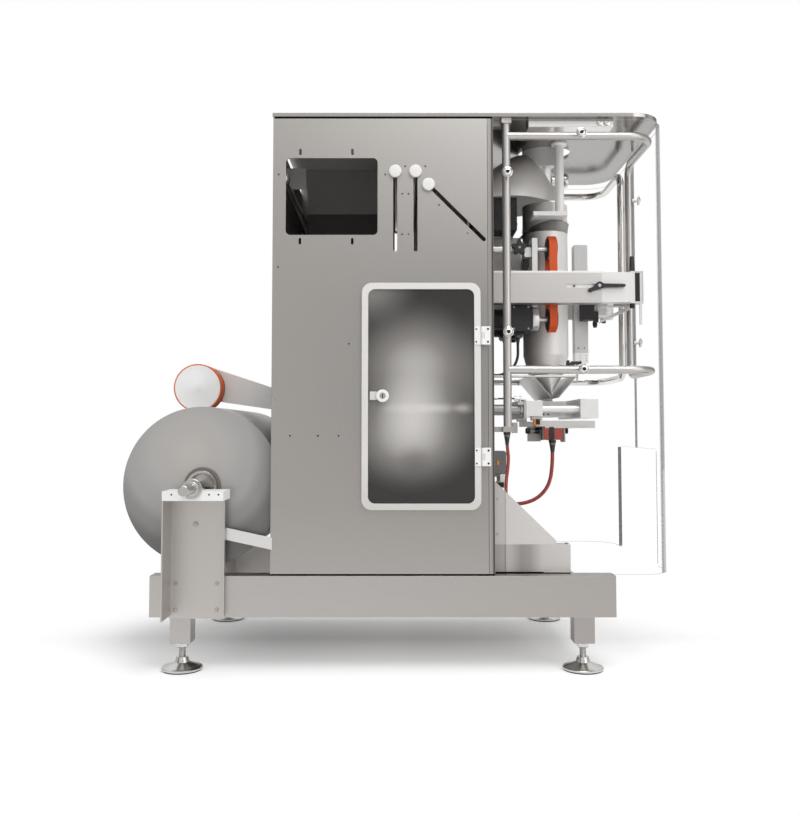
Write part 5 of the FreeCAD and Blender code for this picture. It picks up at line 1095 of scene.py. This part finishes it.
# Cross seal jaws: two aluminium blocks on ground rods, flat side bars below, and small fittings on the near
# side.
# Painted shade: the block is painted darker over its first ten millimetres, from X 403 to 413.
block_painted_shade = along(
    "X", (403, (178, 175, 173)), (410, (190, 188, 186)), (413, (232, 231, 230)), (640, (226, 225, 223))
)
jaw_alloy = surface("jaw_alloy", block_painted_shade, 0.36, 0.55, (200, 200, 200), 0.02, 0.01, 1.2)
rod_steel = surface("rod_steel", (190, 188, 186), 0.24, 1.0, (14, 600, 600), 0.03, 0.003)
bar_grey = surface("bar_grey", (200, 197, 194), 0.42, 0.6, (14, 600, 600), 0.03, 0.006, 1.0)
dress(jaw_alloy, "jaw_guide_block", "front_crossbar")
dress(deflector_steel, "rear_jaw", "front_jaw")
ROD_Y, ROD_Z, JAW_FACE, SIDE_BAR_LOW = 165, 773, 140, 717
bars = []
for side in SIDES:
    bars += [
        brick((441, 629), (145, 195), (SIDE_BAR_LOW, 736), side),
        brick((430, 463), (150, 190), (736, 750), side),
        brick((470, 629), (189, 195.4), (712, SIDE_BAR_LOW), side),
    ]
part("side_bars", "machined", bar_grey, 1.2, *bars, stands_for=["jaw_side_bars"])
TUBE_RING = ((15.2, 0), (20, 0), (21, 1), (21, 6), (20, 7), (15.2, 7))
ROD_CAP = ((9, 0), (9, 1.6), (7.5, 2.4))
rings, screws, caps = [], [], []
for side in SIDES:
    rings += [turned(TUBE_RING, (x, side * ROD_Y, ROD_Z), FRONT) for x in (300, 396)]
    for x in (475, 490):
        screws.append(screw(3.2, 2.8, 0.8, 1, (x, side * JAW_FACE, 757), (0, side, 0), 12))
    caps.append(solid(ROD_CAP, (640, side * ROD_Y, ROD_Z), FRONT, 32))
    caps.append(rod(4, 0.9, (526, side * JAW_FACE, 757), (0, side, 0), 12))
part("jaw_tube_rings", "machined", rod_steel, 0.2, *rings)
part("jaw_screws", "dark_steel", screw_black, 0, *screws)
part("crossbar_caps", "machined", rod_steel, 0.2, *caps, body="front_jaw")
AIR_Y, AIR_Z = -188, 806
UNION = ((7, 0), (7, 8), (4.5, 9), (4.5, 15), (7.5, 15.5), (7.5, 24))
NIPPLE = ((6, 0), (6, 9), (4, 10), (4, 24))
part(
    "jaw_air_fittings", "machined", chrome, 0.2,
    solid(UNION, (374, AIR_Y, AIR_Z), FRONT, 12),
    rod(5, 12, (392, AIR_Y, AIR_Z - 12), (0, 0, 1), 12),
    solid(NIPPLE, (298, AIR_Y, AIR_Z), FRONT, 12),
    brick((386, 403), (AIR_Y - 5, AIR_Y + 5), (786, 796)),
)
part(
    "jaw_air_hose", "black_plastic", black_sheath, 0,
    rod(2.6, 52, (322, AIR_Y, AIR_Z), FRONT, 12),
    rod(3, 7, (PANEL_FRONT, AIR_Y, AIR_Z), FRONT, 12),
)

# Cross seal heater: a red block with a dark clamp band under the near side bar, grey brackets and ribbed
# clamping knobs beside it, and a plug in an orange frame.
heater_red = surface("heater_red", (158, 66, 54), 0.5, 0.0, (300, 300, 300), 0.1, 0.02, 1.0)
plug_orange = surface("plug_orange", (232, 140, 48), 0.5, 0.0, contrast=0.05)
part(
    "heater_body", "heater_red", heater_red, 1.0,
    brick((467, 526), (-195, -132), (675, SIDE_BAR_LOW)),
    stands_for=["heater_block"],
)
BAND_LOWS = [677 + 6.4 * n for n in range(6)]
part(
    "heater_band", "black_plastic", motor_black, 0.4,
    brick((483.5, 498.5), (-196.5, -130.5), (673.6, 716)),
    brick((525, 529), (-194, -134), (676, 716)),
    *[brick((481.5, 500.5), (-197.2, -195.5), (low, low + 3)) for low in BAND_LOWS],
)
SCREW_Y, SCREW_Z = -165, 703.5
RIB, KNOB_STEP = ((8.6, 0), (9.4, 0.8), (9.4, 2.2), (8.6, 3)), 3.6
knobs = []
for start in (413, 443, 534):
    knobs += [solid(RIB, (start + n * KNOB_STEP, SCREW_Y, SCREW_Z), FRONT, 20) for n in range(4)]
    knobs.append(rod(7.6, 14, (start, SCREW_Y, SCREW_Z), FRONT, 20))
part("heater_knobs", "black_plastic", knob_black, 0, *knobs)
part(
    "heater_clamp", "machined", lining_steel, 0.4,
    rod(4, 52, (420, SCREW_Y, SCREW_Z), FRONT, 16),
    brick((421, 463), (-154, -146), (669.5, SIDE_BAR_LOW)),
    brick((463, 467.4), (-190, -140), (674, SIDE_BAR_LOW)),
    brick((529, 534.5), (-194, -134), (668, SIDE_BAR_LOW)),
)
part(
    "heater_plug_frame", "heater_red", plug_orange, 0.3,
    brick((434.5, 440.8), (-197, -175), (721, 742)),
    brick((440.8, 455), (-197.4, -195), (721, 724)),
)
part(
    "heater_plug", "black_plastic", motor_black, 0.5,
    brick((442, 453), (-205, -195), (724.5, 741)),
    brick((444, 451), (-207, -205), (727, 738)),
)

# Front base box: a folded channel on each side with a triangular gusset up the front panel, a junction box in
# grey plastic and its plug.
# Painted light: the channel's face carries a painted soft shadow and reflection, darkest near X 374 and
# lighter towards the front, with a dark line at X 326; the gusset above is painted lighter towards the front.
box_painted_shade = changing(
    along("Z", (363, BLACK), (366, WHITE)),
    along(
        "X", (291, (156, 152, 149)), (323, (164, 160, 157)), (326, (118, 115, 113)),
        (328, (184, 181, 178)), (345, (178, 175, 172)), (374, (152, 148, 144)), (400, (160, 156, 152)),
        (436, (198, 195, 192)), (521, (206, 203, 200)),
    ),
    along(
        "X", (291, (188, 185, 182)), (325, (188, 185, 182)), (327.5, (206, 203, 200)),
        (478, (212, 209, 206)),
    ),
)
box_steel = surface("box_steel", box_painted_shade, 0.44, 0.8, (14, 600, 600), 0.03, 0.005, 1.0)
box_grey = surface("box_grey", (112, 110, 109), 0.5, 0.0, (400, 400, 400), 0.06, 0.02, 1.0)
plug_white = surface("plug_white", (232, 231, 229), 0.45, 0.0, (400, 400, 400), 0.04, 0.02, 0.8)
dress(box_steel, "front_base_box")
dress(box_grey, "cable_fittings")
BOX_SIDE, BOX_TOP = 330, 364
SEAM = (BOX_SIDE, BOX_SIDE + 0.6)
seams, shade_strips = [], []
for side in SIDES:
    seams.append(brick((325.4, 327.6), SEAM, (366, 527), side))
    for z in (395, 500):
        seams.append(screw(4, 3.4, 1.2, 1.4, (303, side * BOX_SIDE, z), (0, side, 0)))
    # Painted shade: black strips under each channel stand for the shade in the gap above the rail.
    shade_strips += [brick((293, 440), SEAM, FLOOR_GAP, side), brick((440, 520), SEAM, (278.2, 281), side)]
part("gusset_seams", "frame_steel", sheet_grey, 0.1, *seams)
part("box_gap_shades", "black_plastic", painted_shade_black, 0, *shade_strips)
part(
    "junction_lid", "black_plastic", box_grey, 0.8,
    brick((350, 353), (-146, -74), (560, 634)),
    brick((300, 340), (-151.6, -150), (566, 628)),
    *[screw(3, 2.6, 1, 1.2, (353, y, z), FRONT, 12) for y in (-140, -80) for z in (566, 628)],
)
part(
    "junction_mark", "heater_red", plug_orange, 0.2,
    brick((322, 329), (-153, -151.6), (594, 608)),
)
PLUG_X, PLUG_Y = 334, -118
part(
    "junction_plug", "white_block", plug_white, 0.6,
    solid(((9, 0), (10, 2), (10, 12), (7, 16)), (PLUG_X, PLUG_Y, 556), DOWN, 24),
    brick((324, 350), (-134, -102), (518, 541)),
    brick((332, 351.6), (-153.6, -150), (541, 565)),
    brick((332, 351.6), (-150, -120), (541, 556)),
)
part(
    "junction_socket", "black_plastic", motor_black, 0.3,
    brick((324, 346), (-135.4, -134), (522, 537)),
    solid(((6, 0), (6, 5), (4.5, 6), (4.5, 12)), (PLUG_X, PLUG_Y, 518), DOWN, 16),
)
LID_SCREW = ((0, 0), (6, 0), (6, 1.5), (4.5, 3.5), (0, 4))
part(
    "box_lid_screws", "machined", bolt_steel, 0,
    *[turned(LID_SCREW, (x, side * 312, BOX_TOP), sides=6) for side in SIDES for x in (512, 436, 360)],
)

# Floor and light: a pale floor that keeps the machine's soft shadow and has a painted shadow in its glow
# under the machine's middle, and three soft lamps in a plain white studio, with darker bands that the
# polished steel mirrors.
bm = bmesh.new()
bmesh.ops.create_circle(bm, cap_ends=True, segments=64, radius=14)
mesh = bpy.data.meshes.new("floor")
bm.to_mesh(mesh)
bm.free()
floor = bpy.data.objects.new("floor", mesh)
bpy.context.scene.collection.objects.link(floor)
floor_white = bpy.data.materials.new("floor_white")
floor_white.use_nodes = True
mesh.materials.append(floor_white)
# Painted shadow: the floor's glow is weakest under the middle of the machine and stronger in front of it.
floor_glow_and_painted_shadow = along(
    "Y", (-300, (149, 149, 149)), (-200, (148, 148, 148)), (-100, (134, 134, 134)), (40, (106, 106, 106)),
    (300, (128, 128, 128)),
)
tree = floor_white.node_tree
tree.nodes.clear()
place = add(tree, "TexCoord").outputs["Object"]
flat = add(tree, "Mapping", {"Vector": place, "Scale": (0.95, 1.35, 1)})
away = add(tree, "VectorMath", {0: flat.outputs[0]}, operation="LENGTH").outputs["Value"]
rays = add(tree, "LightPath").outputs
seen = product(tree, rays["Is Camera Ray"], rays["Is Transmission Ray"], "MAXIMUM")
seen = product(tree, seen, rays["Is Glossy Ray"], "MAXIMUM")
matt = add(tree, "BsdfDiffuse", {"Color": shade(238, 238, 238)}).outputs[0]
glow = add(tree, "Emission", {"Color": floor_glow_and_painted_shadow(tree, place), "Strength": 1.0}).outputs[0]
lit = add(tree, "AddShader", {0: matt, 1: glow}).outputs[0]
near_floor = add(tree, "MixShader", {"Fac": seen, 1: matt, 2: lit}).outputs[0]
white = add(tree, "Emission", {"Strength": 1.0}).outputs[0]
far_share = product(tree, rescaled(tree, away, 0.8, 1.25, smooth=True), seen)
whole = add(tree, "MixShader", {"Fac": far_share, 1: near_floor, 2: white}).outputs[0]
add(tree, "OutputMaterial", {"Surface": whole})

world = bpy.data.worlds.new("studio")
bpy.context.scene.world = world
world.use_nodes = True
tree = world.node_tree
tree.nodes.clear()
HEIGHTS = ((0.0, 0.75), (0.46, 0.72), (0.52, 0.62), (0.62, 0.72), (0.8, 1.0), (1.0, 1.0))
SCREENS = ((0.0, 1.0), (0.55, 1.0), (0.74, 0.3), (0.86, 0.3), (0.95, 1.0), (1.0, 1.0))
heading = add(tree, "TexCoord").outputs["Generated"]
parts = add(tree, "SeparateXYZ", {"Vector": heading}).outputs
sideways = add(tree, "Math", {0: parts["X"]}, operation="ABSOLUTE").outputs[0]
bands = []
for share, levels in ((rescaled(tree, parts["Z"], -1.0, 1.0), HEIGHTS), (sideways, SCREENS)):
    bands.append(banded(tree, share, [(spot, (level, level, level, 1)) for spot, level in levels]))
studio = add(tree, "VectorMath", {0: bands[0], 1: bands[1]}, operation="MULTIPLY").outputs[0]
rays = add(tree, "LightPath").outputs
ambient = add(tree, "Background", {"Color": (1, 1, 1, 1), "Strength": 0.62}).outputs[0]
mirrored = add(tree, "Background", {"Color": studio, "Strength": 1.0}).outputs[0]
white = add(tree, "Background", {"Color": (1, 1, 1, 1), "Strength": 1.0}).outputs[0]
light = add(tree, "MixShader", {"Fac": rays["Is Glossy Ray"], 1: ambient, 2: mirrored}).outputs[0]
seen = product(tree, rays["Is Camera Ray"], rays["Is Transmission Ray"], "MAXIMUM")
whole = add(tree, "MixShader", {"Fac": seen, 1: light, 2: white}).outputs[0]
add(tree, "OutputWorld", {"Surface": whole})
for name, spot, power, size in (
    ("key_light", (0.9, -2.7, 4.7), 84, 2.4),
    ("fill_light", (2.6, -2.6, 1.8), 22, 2.2),
    ("top_light", (0.1, 0.3, 4.2), 45, 2.6),
):
    lamp = bpy.data.objects.new(name, bpy.data.lights.new(name, "AREA"))
    bpy.context.scene.collection.objects.link(lamp)
    lamp.location = spot
    lamp.data.energy = power
    lamp.data.size = size
    lamp.rotation_euler = (Vector((0, 0, 0.8)) - Vector(spot)).to_track_quat("-Z", "Y").to_euler()
bpy.context.scene.view_settings.view_transform = "Standard"
